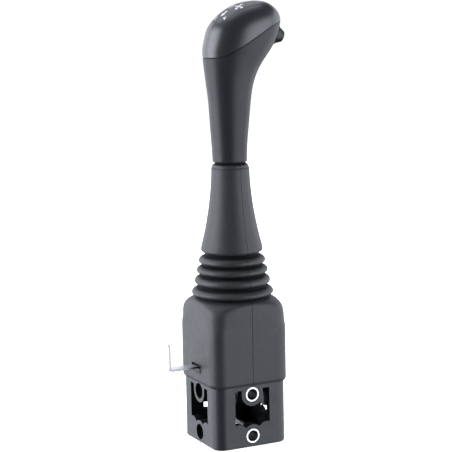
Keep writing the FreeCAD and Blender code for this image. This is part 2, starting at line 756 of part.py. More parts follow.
def lateral_yoke():
    """Slotted yoke that turns about X, with the arm that pulls the lateral cable."""
    body = new_body("lateral_yoke")
    flat = "sqrt(yoke_eye_radius ^ 2 - yoke_leg_half ^ 2)"
    mirrored_pad(
        body, "YZ_Plane",
        lambda sketch: outline(sketch, [
            ("yoke_leg_half", flat),
            ("yoke_leg_half", "bridge_height + bridge_thickness"),
            ("-yoke_leg_half", "bridge_height + bridge_thickness"),
            ("-yoke_leg_half", flat, "0", "0", 1),
        ]),
        YOKE_LEG_INNER, YOKE_LEG_OUTER,
    )
    bridge = new_sketch(body, "XY_Plane", "bridge_height")
    outline(bridge, stadium("slot_end", BRIDGE_HALF))
    pad(body, bridge, "bridge_thickness")
    straps = new_sketch(body, "XY_Plane", "bridge_height")
    outline(straps, rectangle(f"-{YOKE_LEG_OUTER}", YOKE_LEG_OUTER, "-yoke_leg_half", "yoke_leg_half"))
    pad(body, straps, "bridge_thickness")
    slot = new_sketch(body, "XY_Plane", "bridge_height")
    outline(slot, stadium("slot_end", SLOT_HALF))
    pocket(body, slot, "bridge_thickness", backwards=True)
    arm = new_sketch(body, "YZ_Plane", YOKE_LEG_INNER)
    outline(arm, [
        (f"-{CABLE_LEVER}", "ring_half_height", f"-{CABLE_LEVER}", "0", 1),
        (f"-{CABLE_LEVER}", "-ring_half_height"),
        ("0", "-ring_half_height"),
        ("0", "ring_half_height"),
    ])
    pad(body, arm, "yoke_leg_thickness")
    bores = new_sketch(body, "YZ_Plane")
    disc(bores, "0", "0", TRUNNION)
    pocket(body, bores, both_ways=True)
    pin_eye = new_sketch(body, "YZ_Plane")
    disc(pin_eye, f"-{CABLE_LEVER}", "0", "fork_pin / 2 + running_fit")
    pocket(body, pin_eye, both_ways=True)
    place(body, z=PIVOT)
    return body


def cable_end(prefix, x, y, thickness, along_x):
    """One cable's end: fork, pin, clip, rod, its two nuts and the socket, hung from an arm."""
    fork = new_body(f"{prefix}_clevis")
    half = "(fork_width / 2)"
    cheeks = new_sketch(fork, "XZ_Plane")
    outline(cheeks, [
        (half, "-fork_reach"),
        (half, "0", "0", "0", 1),
        (f"-{half}", "0"),
        (f"-{half}", "-fork_reach"),
    ])
    pad(fork, cheeks, "fork_width", both_ways=True)
    neck = new_sketch(fork, "XY_Plane", "-fork_reach")
    disc(neck, "0", "0", "fork_neck_radius")
    pad(fork, neck, "fork_neck", backwards=True)
    gap = new_sketch(fork, "YZ_Plane")
    gap_half = f"({thickness} / 2 + side_play / 2)"
    outline(gap, rectangle(f"-{gap_half}", gap_half, "-fork_slot_depth", "fork_width"))
    pocket(fork, gap, both_ways=True)
    eye = new_sketch(fork, "XZ_Plane")
    disc(eye, "0", "0", "fork_pin / 2")
    pocket(fork, eye, both_ways=True)
    thread = new_sketch(fork, "XY_Plane", "-fork_reach - fork_neck")
    disc(thread, "0", "0", "rod_diameter / 2")
    pocket(fork, thread, "fork_reach + fork_neck - fork_slot_depth", backwards=True)
    place(fork, x=x, y=y, z=PIVOT, angle="90" if along_x else "0")

    inner_end = "(fork_width / 2 + pin_overhang)"
    pin = turned(f"{prefix}_clevis_pin", [
        ("0", f"-{inner_end}"),
        ("fork_pin / 2", f"-{inner_end}"),
        ("fork_pin / 2", half),
        ("pin_head_radius", half),
        ("pin_head_radius", f"{half} + pin_head"),
        ("0", f"{half} + pin_head"),
    ])
    clip = turned(f"{prefix}_pin_clip", [
        ("fork_pin / 2", f"-{half} - clip_thickness"),
        ("clip_radius", f"-{half} - clip_thickness"),
        ("clip_radius", f"-{half}"),
        ("fork_pin / 2", f"-{half}"),
    ])
    for item in (pin, clip):
        axis, angle = ((0, 1, 0), "90") if along_x else ((1, 0, 0), "-90")
        place(item, x=x, y=y, z=PIVOT, axis=axis, angle=angle)

    rod_top = f"({PIVOT} - fork_slot_depth - side_play)"
    rod = turned(f"{prefix}_link_rod", [
        ("0", ROD_FOOT),
        ("rod_diameter / 2", ROD_FOOT),
        ("rod_diameter / 2", rod_top),
        ("0", rod_top),
    ])
    place(rod, x=x, y=y)
    fork_nut = nut(f"{prefix}_fork_nut", "rod_nut_width", "rod_nut_thickness", "rod_diameter / 2")
    place(fork_nut, x=x, y=y, z=f"{PIVOT} - fork_reach - fork_neck", axis=(1, 0, 0), angle="180")
    socket_nut = nut(f"{prefix}_socket_nut", "rod_nut_width", "rod_nut_thickness", "rod_diameter / 2")
    place(socket_nut, x=x, y=y, z=SOCKET_TOP)
    socket = turned(f"{prefix}_cable_socket", [
        ("socket_thread / 2", SOCKET_FOOT),
        ("socket_radius - edge_break", SOCKET_FOOT),
        ("socket_radius", f"{SOCKET_FOOT} + edge_break"),
        ("socket_radius", f"{SOCKET_TOP} - edge_break"),
        ("socket_radius - edge_break", SOCKET_TOP),
        ("rod_diameter / 2", SOCKET_TOP),
        ("rod_diameter / 2", ROD_FOOT),
        ("socket_thread / 2", ROD_FOOT),
    ])
    place(socket, x=x, y=y)
    return [fork, pin, clip, rod, fork_nut, socket_nut, socket]


def lock_slider():
    """Bent strip: the tab outside, the run through the wall, and the riser with its tongue inside."""
    body = new_body("lock_slider")
    run_low, run_high = STRIP_FOOT, STRIP_TOP
    tongue_top = f"({TONGUE_FOOT} + strip_thickness)"
    tab = f"-{TAB_OUTSIDE}"
    riser_left = f"-({RISER_INNER} + strip_thickness)"
    inner_bend = "(strip_bend - strip_thickness)"
    side = new_sketch(body, "XZ_Plane")
    outline(side, [
        (tab, TAB_TOP),
        (tab, f"{run_low} + strip_bend", f"{tab} + strip_bend", f"{run_low} + strip_bend", 1),
        (f"{tab} + strip_bend", run_low),
        (f"-{RISER_INNER} - strip_bend", run_low, f"-{RISER_INNER} - strip_bend", f"{run_low} + strip_bend", 1),
        (f"-{RISER_INNER}", f"{run_low} + strip_bend"),
        (f"-{RISER_INNER}", TONGUE_FOOT),
        (f"-{RISER_INNER} + tongue_length", TONGUE_FOOT),
        (f"-{RISER_INNER} + tongue_length", tongue_top),
        (riser_left, tongue_top),
        (riser_left, f"{run_high} + {inner_bend}", f"{riser_left} - {inner_bend}", f"{run_high} + {inner_bend}", -1),
        (f"{riser_left} - {inner_bend}", run_high),
        (f"{tab} + strip_bend", run_high, f"{tab} + strip_bend", f"{run_high} + {inner_bend}", -1),
        (f"{tab} + strip_thickness", f"{run_high} + {inner_bend}"),
        (f"{tab} + strip_thickness", TAB_TOP),
    ])
    pad(body, side, "strip_width", both_ways=True)
    for way in ("-", ""):
        shoulder = new_sketch(body, "XY_Plane", f"{TONGUE_FOOT} - tongue_neck")
        low, high = ("-strip_width", "-tongue_width / 2") if way else ("tongue_width / 2", "strip_width")
        outline(shoulder, rectangle(riser_left + " - 1", "0", low, high))
        pocket(body, shoulder, "tongue_neck + 2 * strip_thickness", backwards=True)
    document.recompute()
    base = body.Tip
    corners = [
        f"Edge{number}" for number, edge in enumerate(base.Shape.Edges, start=1)
        if edge.BoundBox.XMax < value(f"{tab} + 2 * strip_thickness")
        and edge.BoundBox.ZMin > value(TAB_TOP) - 1e-6
        and edge.BoundBox.YLength < 1e-6
    ]
    round_top = body.newObject("PartDesign::Fillet", "tab_round")
    round_top.Base = (base, corners)
    bind(round_top, Radius="strip_width / 2 - edge_break / 2")
    body.Tip = round_top
    return body


def lock_guide():
    """Bracket inside the housing that the lock's strip slides on, between two cheeks."""
    body = new_body("lock_guide")
    half = "(strip_width / 2 + strip_play + guide_cheek)"
    side = new_sketch(body, "XZ_Plane")
    outline(side, [
        (f"-{CAVITY_HALF}", GUIDE_FOOT),
        (f"-{CAVITY_HALF} + guide_wall", GUIDE_FOOT),
        (f"-{CAVITY_HALF} + guide_wall", f"{GUIDE_TOP} - guide_wall"),
        (f"-{CAVITY_HALF} + guide_length", f"{GUIDE_TOP} - guide_wall"),
        (f"-{CAVITY_HALF} + guide_length", f"{STRIP_TOP} + strip_play"),
        (f"-{CAVITY_HALF}", f"{STRIP_TOP} + strip_play"),
    ])
    pad(body, side, f"2 * {half}", both_ways=True)
    channel = new_sketch(body, "YZ_Plane", f"-({CAVITY_HALF} + 1)")
    outline(channel, rectangle(
        f"-{half} + guide_cheek", f"{half} - guide_cheek", GUIDE_TOP, f"{STRIP_TOP} + 2",
    ))
    pocket(body, channel, "guide_length + 2", backwards=True)
    holes = new_sketch(body, "YZ_Plane", f"-({CAVITY_HALF} + 1)")
    for way in ("-", ""):
        disc(holes, f"{way}guide_screw_spread", WALL_SCREW_LEVEL, "guide_screw / 2")
    pocket(body, holes, "guide_wall + 2", backwards=True)
    return body


def guide_screws():
    """Two countersunk screws through the crown's wall into the guide."""
    screws = []
    depth = "(guide_screw_head / 2 - guide_screw / 2)"
    for number, way in enumerate(("-", "")):
        screw = turned(f"guide_screw_{number}", [
            ("0", "0"),
            ("guide_screw_head / 2", "0"),
            ("guide_screw / 2", depth),
            ("guide_screw / 2", "crown_wall + guide_wall"),
            ("0", "crown_wall + guide_wall"),
        ])
        place(
            screw, x=f"-{CROWN_HALF}", y=f"{way}guide_screw_spread", z=WALL_SCREW_LEVEL,
            axis=(0, 1, 0), angle="90",
        )
        screws.append(screw)
    group = document.addObject("Part::Compound", "guide_screws")
    group.Label = "guide_screws"
    group.Links = screws
    return group


def cone_centre(foot_radius, foot_height, top_radius):
    """Centre of the cone's hollow flank, an arc between its foot and its top."""
    run = f"({top_radius} - {foot_radius})"
    rise = f"({BOOT_TOP} - {foot_height})"
    chord = f"sqrt({run} ^ 2 + {rise} ^ 2)"
    reach = f"sqrt(cone_flare ^ 2 - {chord} ^ 2 / 4)"
    return (
        f"({foot_radius} + {run} / 2 + {reach} * {rise} / {chord})",
        f"({foot_height} + {rise} / 2 - {reach} * {run} / {chord})",
    )


def boot_shell(name, skirt_half, skirt_corner, inset):
    """Solid inside one face of the boot: the square skirt with its shoulder, the bellows, the cone."""
    shoulder = f"({SHOULDER_TOP} - {inset})"
    round_radius = f"(shoulder_round - {inset})"
    corner_reach = f"({SKIRT_HALF} * sqrt(2) - {SKIRT_CORNER} * (sqrt(2) - 1))"
    round_centre = f"({corner_reach} - shoulder_round + shoulder_relief)"
    skirt = new_body(f"{name}_skirt")
    base = new_sketch(skirt, "XY_Plane", BASE_HEIGHT)
    outline(base, rounded_square(skirt_half, skirt_corner))
    pad(skirt, base, f"{shoulder} - {BASE_HEIGHT}")
    trim = new_sketch(skirt, "XZ_Plane")
    outline(trim, [
        (round_centre, shoulder, round_centre, CROWN_TOP, -1),
        (f"{round_centre} + {round_radius}", CROWN_TOP),
        ("base_width", CROWN_TOP),
        ("base_width", f"{shoulder} + 1"),
        (round_centre, f"{shoulder} + 1"),
    ])
    revolve(skirt, trim, cuts=True)

    column = new_body(f"{name}_column")
    pitch = "(bellows_length / (bellows_rings - 1))"
    taper = f"(({BELLOWS_FOOT_RADIUS} - bellows_top_radius) / (bellows_rings - 1))"
    corners = [("0", CROWN_TOP), (f"{BELLOWS_FOOT_RADIUS} - bellows_depth - {inset}", CROWN_TOP)]
    for ring in range(round(value("bellows_rings"))):
        height = f"({BELLOWS_FOOT} + {ring} * {pitch})"
        edge = f"({BELLOWS_FOOT_RADIUS} - {ring} * {taper} - {inset})"
        flank = f"({edge} - bellows_lip)"
        corners += [
            (f"{edge} - bellows_depth", f"{height} - {pitch} / 2"),
            (flank, f"{height} - bellows_lip", flank, height, 1),
            (flank, f"{height} + bellows_lip"),
        ]
    foot_radius = f"(bellows_top_radius - {inset} - cone_step)"
    foot_height = f"({height} + bellows_lip + cone_step_rise)"
    top_radius = f"(boot_top_radius - {inset})"
    corners += [
        (foot_radius, foot_height, *cone_centre(foot_radius, foot_height, top_radius), -1),
        (top_radius, BOOT_TOP),
        ("0", BOOT_TOP),
    ]
    profile = new_sketch(column, "XZ_Plane")
    outline(profile, corners)
    revolve(column, profile)
    return boolean("MultiFuse", name, skirt, column)


def rubber_boot():
    """Boot over the crown: skirt, rounded shoulder, bellows, cone, and a lipped slot for the lock."""
    outer = boot_shell("boot_outside", SKIRT_HALF, SKIRT_CORNER, "0")
    inner = boot_shell("boot_inside", SKIRT_INNER_HALF, SKIRT_INNER_CORNER, "boot_wall")
    lip = new_body("boot_slot_lip")
    frame = new_sketch(lip, "YZ_Plane", f"-{SKIRT_HALF} + boot_wall / 2")
    slot_foot = f"({STRIP_FOOT} - boot_slot_below)"
    slot_top = f"({STRIP_TOP} + boot_slot_above)"
    reach = "(boot_slot_half + boot_lip_border)"
    outline(frame, rectangle(f"-{reach}", reach, f"{slot_foot} - boot_lip_border", f"{slot_top} + boot_lip_border"))
    pad(lip, frame, "boot_wall / 2 + boot_lip", backwards=True)
    slot = new_body("boot_slot")
    opening = new_sketch(slot, "YZ_Plane", f"-{SKIRT_HALF} - boot_lip - 1")
    outline(opening, rectangle("-boot_slot_half", "boot_slot_half", slot_foot, slot_top))
    pad(slot, opening, "boot_wall + boot_lip + 2")
    whole = boolean("MultiFuse", "boot_whole", outer, lip)
    hollow = boolean("MultiFuse", "boot_hollow", inner, slot)
    return boolean("Cut", "rubber_boot", whole, hollow)


def station_rise(index):
    """Height of one of the grip's cross sections above its foot."""
    return "(" + " + ".join(f"grip_rise_{step}" for step in range(index + 1)) + ")"


def grip_solid(name, inset):
    """Loft through the grip's cross sections, drawn in by an inset for its hollow."""
    sections = []
    for index in range(STATIONS):
        rise = station_rise(index)
        if inset != "0" and value(rise) < value("hollow_rise"):
            continue
        back, front = f"grip_back_{index}", f"grip_front_{index}"
        long_half = f"(({front} - {back}) / 2 - {inset})"
        wide_half = f"(grip_half_{index} - {inset})"
        drop = inset if value(rise) > value("button_level") + value("button_radius") else "0"
        ring = document.addObject("Part::Ellipse", f"{name}_section")
        bind(ring, MajorRadius=f"max({long_half}; {wide_half})", MinorRadius=f"min({long_half}; {wide_half})")
        place(ring, x=f"({back} + {front}) / 2", z=f"{GRIP_FOOT} + {rise} - {drop}")
        sections.append(ring)
    loft = document.addObject("Part::Loft", name)
    loft.Sections = sections
    loft.Solid = True
    loft.MaxDegree = 3
    return loft


def along_button(item, distance="0"):
    """Turn a piece so that its own Z points out of the grip along the button's axis."""
    place(
        item,
        x=f"button_x + ({distance}) * cos(button_droop)",
        z=f"{GRIP_FOOT} + button_level - ({distance}) * sin(button_droop)",
        axis=(0, 1, 0), angle="90 + button_droop",
    )


def grip_parts():
    """Grip in two shells that meet at the curved seam, with the inlay let into the upper one."""
    outside = grip_solid("grip_outside", "0")
    inside = grip_solid("grip_inside", "grip_wall")
    below = new_body("below_seam")
    side = new_sketch(below, "XZ_Plane")
    level = f"({GRIP_FOOT} + seam_level)"
    rise_x = "(-seam_flat_end + seam_rear_radius * sin(seam_slope))"
    rise_z = f"({level} + seam_rear_radius * (1 - cos(seam_slope)))"
    bend_z = f"({rise_z} + (seam_bend_x - {rise_x}) * tan(seam_slope))"
    crest_x = "(seam_bend_x + seam_front_radius * sin(seam_slope))"
    crest_centre = f"({bend_z} - seam_front_radius * cos(seam_slope))"
    crest_z = f"({crest_centre} + seam_front_radius)"
    outline(side, [
        ("-base_width / 2", f"{GRIP_FOOT} - 1"),
        (f"{crest_x} + 1", f"{GRIP_FOOT} - 1"),
        (f"{crest_x} + 1", crest_z),
        (crest_x, crest_z, crest_x, crest_centre, 1),
        ("seam_bend_x", bend_z),
        (rise_x, rise_z, "-seam_flat_end", f"{level} + seam_rear_radius", -1),
        ("-seam_flat_end", level),
        ("-base_width / 2", level),
    ])
    pad(below, side, "base_width", both_ways=True)
    shell = boolean("Cut", "grip_shell", outside, inside)

    upper = boolean("Cut", "upper_shell", shell, below)
    skin = boolean("Cut", "inlay_skin", outside, grip_solid("inlay_inside", "inlay_depth"))
    plan = new_body("inlay_plan")
    top_view = new_sketch(plan, "XY_Plane", bend_z)
    bend_x = "(inlay_shoulder + inlay_side_radius * sin(inlay_bend))"
    bend_y = "(inlay_half - inlay_side_radius * (1 - cos(inlay_bend)))"
    nose_x = f"({bend_x} - {bend_y} * tan(inlay_bend))"
    side_y = "(inlay_side_radius - inlay_half)"
    corner_x, corner_y = "(inlay_corner - inlay_back)", "(inlay_half - inlay_corner)"
    outline(top_view, [
        ("inlay_shoulder", "-inlay_half", "inlay_shoulder", side_y, 1),
        (bend_x, f"-{bend_y}", nose_x, "0", 1),
        (bend_x, bend_y, "inlay_shoulder", f"-{side_y}", 1),
        ("inlay_shoulder", "inlay_half"),
        (corner_x, "inlay_half", corner_x, corner_y, 1),
        ("-inlay_back", corner_y),
        ("-inlay_back", f"-{corner_y}", corner_x, f"-{corner_y}", 1),
        (corner_x, "-inlay_half"),
    ])
    pad(plan, top_view, "base_width")
    inlay = boolean("Common", "cap_inlay", skin, plan)
    cap = boolean("Cut", "grip_cap", upper, inlay)

    lower = boolean("Common", "lower_shell", shell, below)
    spigot = turned("grip_spigot", [
        ("0", SPIGOT_FOOT),
        ("spigot_radius", SPIGOT_FOOT),
        ("spigot_radius", f"{GRIP_FOOT} + 1"),
        ("0", f"{GRIP_FOOT} + 1"),
    ])
    solid_grip = boolean("MultiFuse", "grip_with_spigot", lower, spigot)
    insert_foot = f"({GRIP_FOOT} + insert_rise)"
    insert_top = f"({insert_foot} + insert_length)"
    bore_top = f"({GRIP_FOOT} + hollow_rise + grip_wall)"
    bore = turned("grip_bore", [
        ("0", f"{SPIGOT_FOOT} - 1"),
        ("shaft_radius", f"{SPIGOT_FOOT} - 1"),
        ("shaft_radius", insert_foot),
        ("insert_radius", insert_foot),
        ("insert_radius", insert_top),
        ("shaft_radius", insert_top),
        ("shaft_radius", bore_top),
        ("0", bore_top),
    ])
    button_hole = rod_solid("button_hole", "button_radius + button_play + bezel_wall", "0", "3 * bezel_depth")
    along_button(button_hole, "-1.5 * bezel_depth")
    holes = boolean("MultiFuse", "grip_holes", bore, button_hole)
    body = boolean("Cut", "grip_body", solid_grip, holes)
    insert = tube("grip_insert", "insert_radius", "shaft_radius", insert_foot, insert_top, "edge_break")
    jam_nut = nut("grip_jam_nut", "jam_nut_width", "jam_nut_thickness", "shaft_radius")
    place(jam_nut, z=f"{SPIGOT_FOOT} - jam_nut_thickness")
    return [body, cap, inlay, insert, jam_nut]


def button_parts():
    """Push button, its bezel, its spring and the switch behind it, on one slanted axis."""
    bezel_bore = "(button_radius + button_play)"
    bezel = tube(
        "button_bezel", f"({bezel_bore} + bezel_wall)", bezel_bore, "(-bezel_depth)", "bezel_proud", "bezel_break",
    )
    switch_face = "(-bezel_depth - switch_gap)"
    stem_end = f"({switch_face} - stem_in_switch)"
    spring_seat = "(-spring_seat_depth)"
    spring_space = "(button_radius - button_skirt)"
    button = turned("push_button", [
        ("0", stem_end),
        ("switch_stem_radius", stem_end),
        ("switch_stem_radius", spring_seat),
        (spring_space, spring_seat),
        (spring_space, "-button_depth"),
        ("button_radius", "-button_depth"),
        ("button_radius", "button_proud - button_round", "button_radius - button_round", "button_proud - button_round", 1),
        ("button_radius - button_round", "button_proud"),
        ("0", "button_proud"),
    ])
    switch = turned("switch_body", [
        ("0", f"{switch_face} - switch_length"),
        ("switch_radius", f"{switch_face} - switch_length"),
        ("switch_radius", switch_face),
        ("switch_stem_radius + running_fit", switch_face),
        ("switch_stem_radius + running_fit", f"{stem_end} - button_travel - side_play"),
        ("0", f"{stem_end} - button_travel - side_play"),
    ])
    spring_outer = f"({spring_space} - button_play)"
    spring = tube(
        "button_spring", spring_outer, f"({spring_outer} - button_spring_wire)",
        switch_face, f"({spring_seat} - spring_break)", "spring_break",
    )
    mount = tube(
        "switch_mount", f"({bezel_bore} + bezel_wall)", bezel_bore, switch_face, "(-bezel_depth)", "spring_break",
    )
    parts = [bezel, button, switch, spring, mount]
    for item in parts:
        along_button(item)
    return parts


def build():
    """Every sub-part, in the order in which they go together."""
    parts = [base_housing(), *mounting_sleeves(), *pivot_bushes(), *trunnion_pins()]
    parts += [gimbal_ring(), cross_pin(), pivot_hub(), lever_shaft(), lateral_yoke()]
    parts += cable_end("fore_aft", f"-{CABLE_LEVER}", FORE_AFT_CABLE_Y, "arm_thickness", along_x=False)
    parts += cable_end("lateral", YOKE_ARM_X, f"-{CABLE_LEVER}", "yoke_leg_thickness", along_x=True)
    parts += [lock_slider(), lock_guide(), guide_screws(), rubber_boot()]
    parts += grip_parts()
    parts += button_parts()
    return parts


def export(parts):
    """Check every object and sub-part, then write one file for each sub-part."""
    document.recompute()
    for item in document.Objects:
        if "Invalid" in item.State or "Error" in item.State:
            raise RuntimeError(f"{item.Label} failed: {item.State}")
    for item in parts:
        if item.Shape.isNull() or not item.Shape.isValid() or not item.Shape.Solids:
            raise RuntimeError(f"{item.Label} has no valid shape")
    os.makedirs("parts", exist_ok=True)
    for item in parts:
        item.Shape.exportStep(f"parts/{item.Label}.step")
        print(item.Label, len(item.Shape.Solids), round(item.Shape.Volume, 1))


export(build())
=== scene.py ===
"""Looks of a two-axis cable joystick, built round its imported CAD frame.

Sizes of the object are in millimetres, as on a drawing, and become metres in the meshes. Sizes of finishes,
lights and floor are in metres. The lever stands along +Z, the grip points along +X, and the sleeves of the
foot lie along Y.
"""

from __future__ import annotations

import json
import logging
import math
from dataclasses import dataclass
from enum import Enum
from typing import Any, Callable, NamedTuple, Optional, Sequence, Union

import bmesh
import bpy
import numpy as np
from mathutils import Matrix, Vector

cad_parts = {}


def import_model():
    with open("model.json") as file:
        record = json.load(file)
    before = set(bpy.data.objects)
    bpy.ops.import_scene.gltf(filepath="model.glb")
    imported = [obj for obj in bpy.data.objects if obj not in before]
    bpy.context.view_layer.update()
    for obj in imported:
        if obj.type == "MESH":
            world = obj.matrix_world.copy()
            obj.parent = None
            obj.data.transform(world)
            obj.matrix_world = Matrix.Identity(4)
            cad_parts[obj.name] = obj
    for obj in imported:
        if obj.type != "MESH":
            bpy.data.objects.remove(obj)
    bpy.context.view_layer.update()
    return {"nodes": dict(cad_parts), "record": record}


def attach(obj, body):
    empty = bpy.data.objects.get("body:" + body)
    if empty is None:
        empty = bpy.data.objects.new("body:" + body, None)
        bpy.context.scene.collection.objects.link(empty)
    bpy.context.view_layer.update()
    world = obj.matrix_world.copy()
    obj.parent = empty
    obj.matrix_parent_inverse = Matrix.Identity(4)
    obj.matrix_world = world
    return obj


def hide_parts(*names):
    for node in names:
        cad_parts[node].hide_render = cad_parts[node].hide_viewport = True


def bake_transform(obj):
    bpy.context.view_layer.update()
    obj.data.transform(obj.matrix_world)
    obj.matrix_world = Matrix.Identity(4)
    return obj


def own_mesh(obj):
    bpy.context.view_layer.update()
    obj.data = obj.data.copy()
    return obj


LOG = logging.getLogger("joystick")
MM = 0.001
TURN = 2 * math.pi
WELD_DISTANCE = 1e-6
TINY = 1e-12
# Degrees between two faces from which their edge is sharp, on turned, walled and soft pieces
TURNED_EDGE = 30.0
WALLED_EDGE = 38.0
SOFT_EDGE = 60.0

Array = np.ndarray
Colour = tuple[float, float, float]
Curve = Callable[[Array], Array]


def with_settings(thing: Any, **settings: Any) -> Any:
    """Sets properties of a node, modifier, light or camera, and hands it back."""
    for name, setting in settings.items():
        setattr(thing, name, setting)
    return thing


class Wire:
    """Output of a shader node, which takes part in Python sums."""

    def __init__(self, graph: "Graph", socket: bpy.types.NodeSocket) -> None:
        """Keeps the node tree and the socket."""
        self.graph = graph
        self.socket = socket

    def __add__(self, other: "Term") -> "Wire":
        """Sum."""
        return self.graph.math("ADD", self, other)

    def __sub__(self, other: "Term") -> "Wire":
        """Difference."""
        return self.graph.math("SUBTRACT", self, other)

    def __rsub__(self, other: "Term") -> "Wire":
        """Difference from a number."""
        return self.graph.math("SUBTRACT", other, self)

    def __mul__(self, other: "Term") -> "Wire":
        """Product."""
        return self.graph.math("MULTIPLY", self, other)

    __radd__ = __add__
    __rmul__ = __mul__


Term = Union[Wire, float]


class Graph:
    """Node tree of a material or of the world, filled from Python."""

    def __init__(self, tree: bpy.types.NodeTree) -> None:
        """Empties the tree and keeps it."""
        self.tree = tree
        tree.nodes.clear()

    def node(
        self,
        kind: str,
        settings: Optional[dict] = None,
        inputs: Optional[dict] = None,
        output: Union[int, str] = 0,
    ) -> Optional[Wire]:
        """Adds one node.

        Args:
            kind: Node type, without its ShaderNode prefix.
            settings: Properties that are set first.
            inputs: Values or wires for its sockets, by name or number.
            output: Which of its outputs to hand back.

        Returns:
            The chosen output, or None from a node that has none.
        """
        made = with_settings(self.tree.nodes.new(f"ShaderNode{kind}"), **(settings or {}))
        for name, given in (inputs or {}).items():
            if isinstance(given, Wire):
                self.tree.links.new(given.socket, made.inputs[name])
            else:
                made.inputs[name].default_value = given
        return Wire(self, made.outputs[output]) if made.outputs else None

    def math(self, operation: str, *terms: Term) -> Wire:
        """Adds a Math node on numbers and wires."""
        return self.node("Math", {"operation": operation}, dict(enumerate(terms)))

    def smooth(self, wire: Wire, low: float, high: float) -> Wire:
        """Smooth step from 0 at low to 1 at high."""
        ends = {0: wire, 1: low, 2: high, 3: 0.0, 4: 1.0}
        return self.node("MapRange", {"interpolation_type": "SMOOTHSTEP"}, ends)

    def below(self, wire: Wire, limit: float, blur: float = 0.0002) -> Wire:
        """1 up to a limit, and 0 from a blur beyond it."""
        return 1 - self.smooth(wire, limit, limit + blur)

    def mix(self, factor: Term, first: Union[Wire, Colour], second: Union[Wire, Colour]) -> Wire:
        """Mixes two colours, the inputs 6 and 7 of a Mix node."""
        first, second = (side if isinstance(side, Wire) else (*side, 1.0) for side in (first, second))
        return self.node("Mix", {"data_type": "RGBA"}, {0: factor, 6: first, 7: second}, output=2)

    def coordinates(self) -> list[Wire]:
        """Object coordinates x, y and z."""
        split = self.node("SeparateXYZ", None, {0: self.node("TexCoord", output="Object")})
        return [Wire(self, socket) for socket in split.socket.node.outputs]

    def attribute(self, name: str) -> Wire:
        """Number that the mesh holds at each vertex."""
        return self.node("Attribute", {"attribute_name": name}, output="Fac")

    def noise(self, size: float, detail: float = 3.0, stretch: Colour = (1.0, 1.0, 1.0)) -> Wire:
        """Noise on object coordinates.

        Args:
            size: Size of a blotch, in metres.
            detail: Octaves.
            stretch: How much the coordinates grow along each axis, to draw blotches out.

        Returns:
            Noise from 0 to 1.
        """
        scales = tuple(value / size for value in stretch)
        place = {0: self.node("TexCoord", output="Object"), 1: scales}
        stretched = self.node("VectorMath", {"operation": "MULTIPLY"}, place)
        return self.node("TexNoise", None, {"Vector": stretched, "Scale": 1.0, "Detail": detail})

    def relief(self, height: Wire, depth: float) -> Wire:
        """Normal of a surface with a relief of a depth in metres."""
        return self.node("Bump", None, {"Strength": 1.0, "Distance": depth, "Height": height})


def scaled(colour: Colour, factor: float) -> Colour:
    """Colour made lighter or darker."""
    return tuple(channel * factor for channel in colour)


@dataclass(frozen=True)
class Finish:
    """Look of a surface, made of nodes."""

    name: str
    colour: Colour
    roughness: float

    def pattern(self, graph: Graph, shade: Wire) -> Wire:
        """Colour as it is, in a finish without a pattern."""
        return shade

    def surface(self, graph: Graph, shader: Wire) -> Wire:
        """Shader as it is, in a finish that is the same all over."""
        return shader

    def shader(self, graph: Graph) -> Wire:
        """Shader of the finish, which each kind makes in its own way."""
        raise NotImplementedError(self.name)

    def material(self) -> bpy.types.Material:
        """Builds the material.

        Returns:
            The material, whose output is the surface of the shader.
        """
        made = bpy.data.materials.new(self.name)
        made.use_nodes = True
        graph = Graph(made.node_tree)
        graph.node("OutputMaterial", None, {"Surface": self.surface(graph, self.shader(graph))})
        return made


@dataclass(frozen=True)
class Moulding(Finish):
    """Moulded plastic or rubber: cloudy tint, uneven gloss and fine grain."""

    cloud: float = 0.10
    cloud_size: float = 0.018
    gloss_change: float = 0.10
    grain_size: float = 0.0007
    grain_height: float = 0.00003
    specular: float = 0.5
    # Colour share, roughness and specular of the dark shader that paints shade
    shade_tone: float = 0.3
    shade_roughness: float = 0.85
    shade_specular: float = 0.1

    def shader(self, graph: Graph) -> Wire:
        """Makes a shader whose colour, roughness and bump follow object coordinates.

        Args:
            graph: Graph of the material.

        Returns:
            The shader.
        """
        clouds = graph.noise(self.cloud_size)
        shade = graph.mix(clouds, scaled(self.colour, 1 - self.cloud), scaled(self.colour, 1 + self.cloud))
        scuffs = graph.noise(self.cloud_size / 4, detail=6.0)
        return graph.node("BsdfPrincipled", None, {
            "Base Color": self.pattern(graph, shade),
            "Roughness": self.roughness + (scuffs - 0.5) * (2 * self.gloss_change),
            "Normal": graph.relief(graph.noise(self.grain_size, detail=2.0), self.grain_height),
            "Specular IOR Level": self.specular,
        })

    def with_painted_shade(self, graph: Graph, shader: Wire, share: Wire) -> Wire:
        """Mixes in a dark shader with hardly any gloss, which paints shade in deep and inner places.

        Args:
            graph: Graph of the material.
            shader: Shader of the surface elsewhere.
            share: How much painted shade the surface gets, from 0 to 1.

        Returns:
            The mixed shader.
        """
        painted_shade = graph.node("BsdfPrincipled", None, {
            "Base Color": (*scaled(self.colour, self.shade_tone), 1.0),
            "Roughness": self.shade_roughness,
            "Specular IOR Level": self.shade_specular,
        })
        return graph.node("MixShader", None, {0: share, 1: shader, 2: painted_shade})


@dataclass(frozen=True)
class GroovedMoulding(Moulding):
    """Moulding with painted shade, dark and without gloss, down in its grooves."""

    # Share of the painted shade, given by the mesh's attribute, that is used
    groove_share: float = 1.0

    def surface(self, graph: Graph, shader: Wire) -> Wire:
        """Paints shade as deep as the mesh's own attribute says."""
        return self.with_painted_shade(graph, shader, graph.attribute("hollow") * self.groove_share)


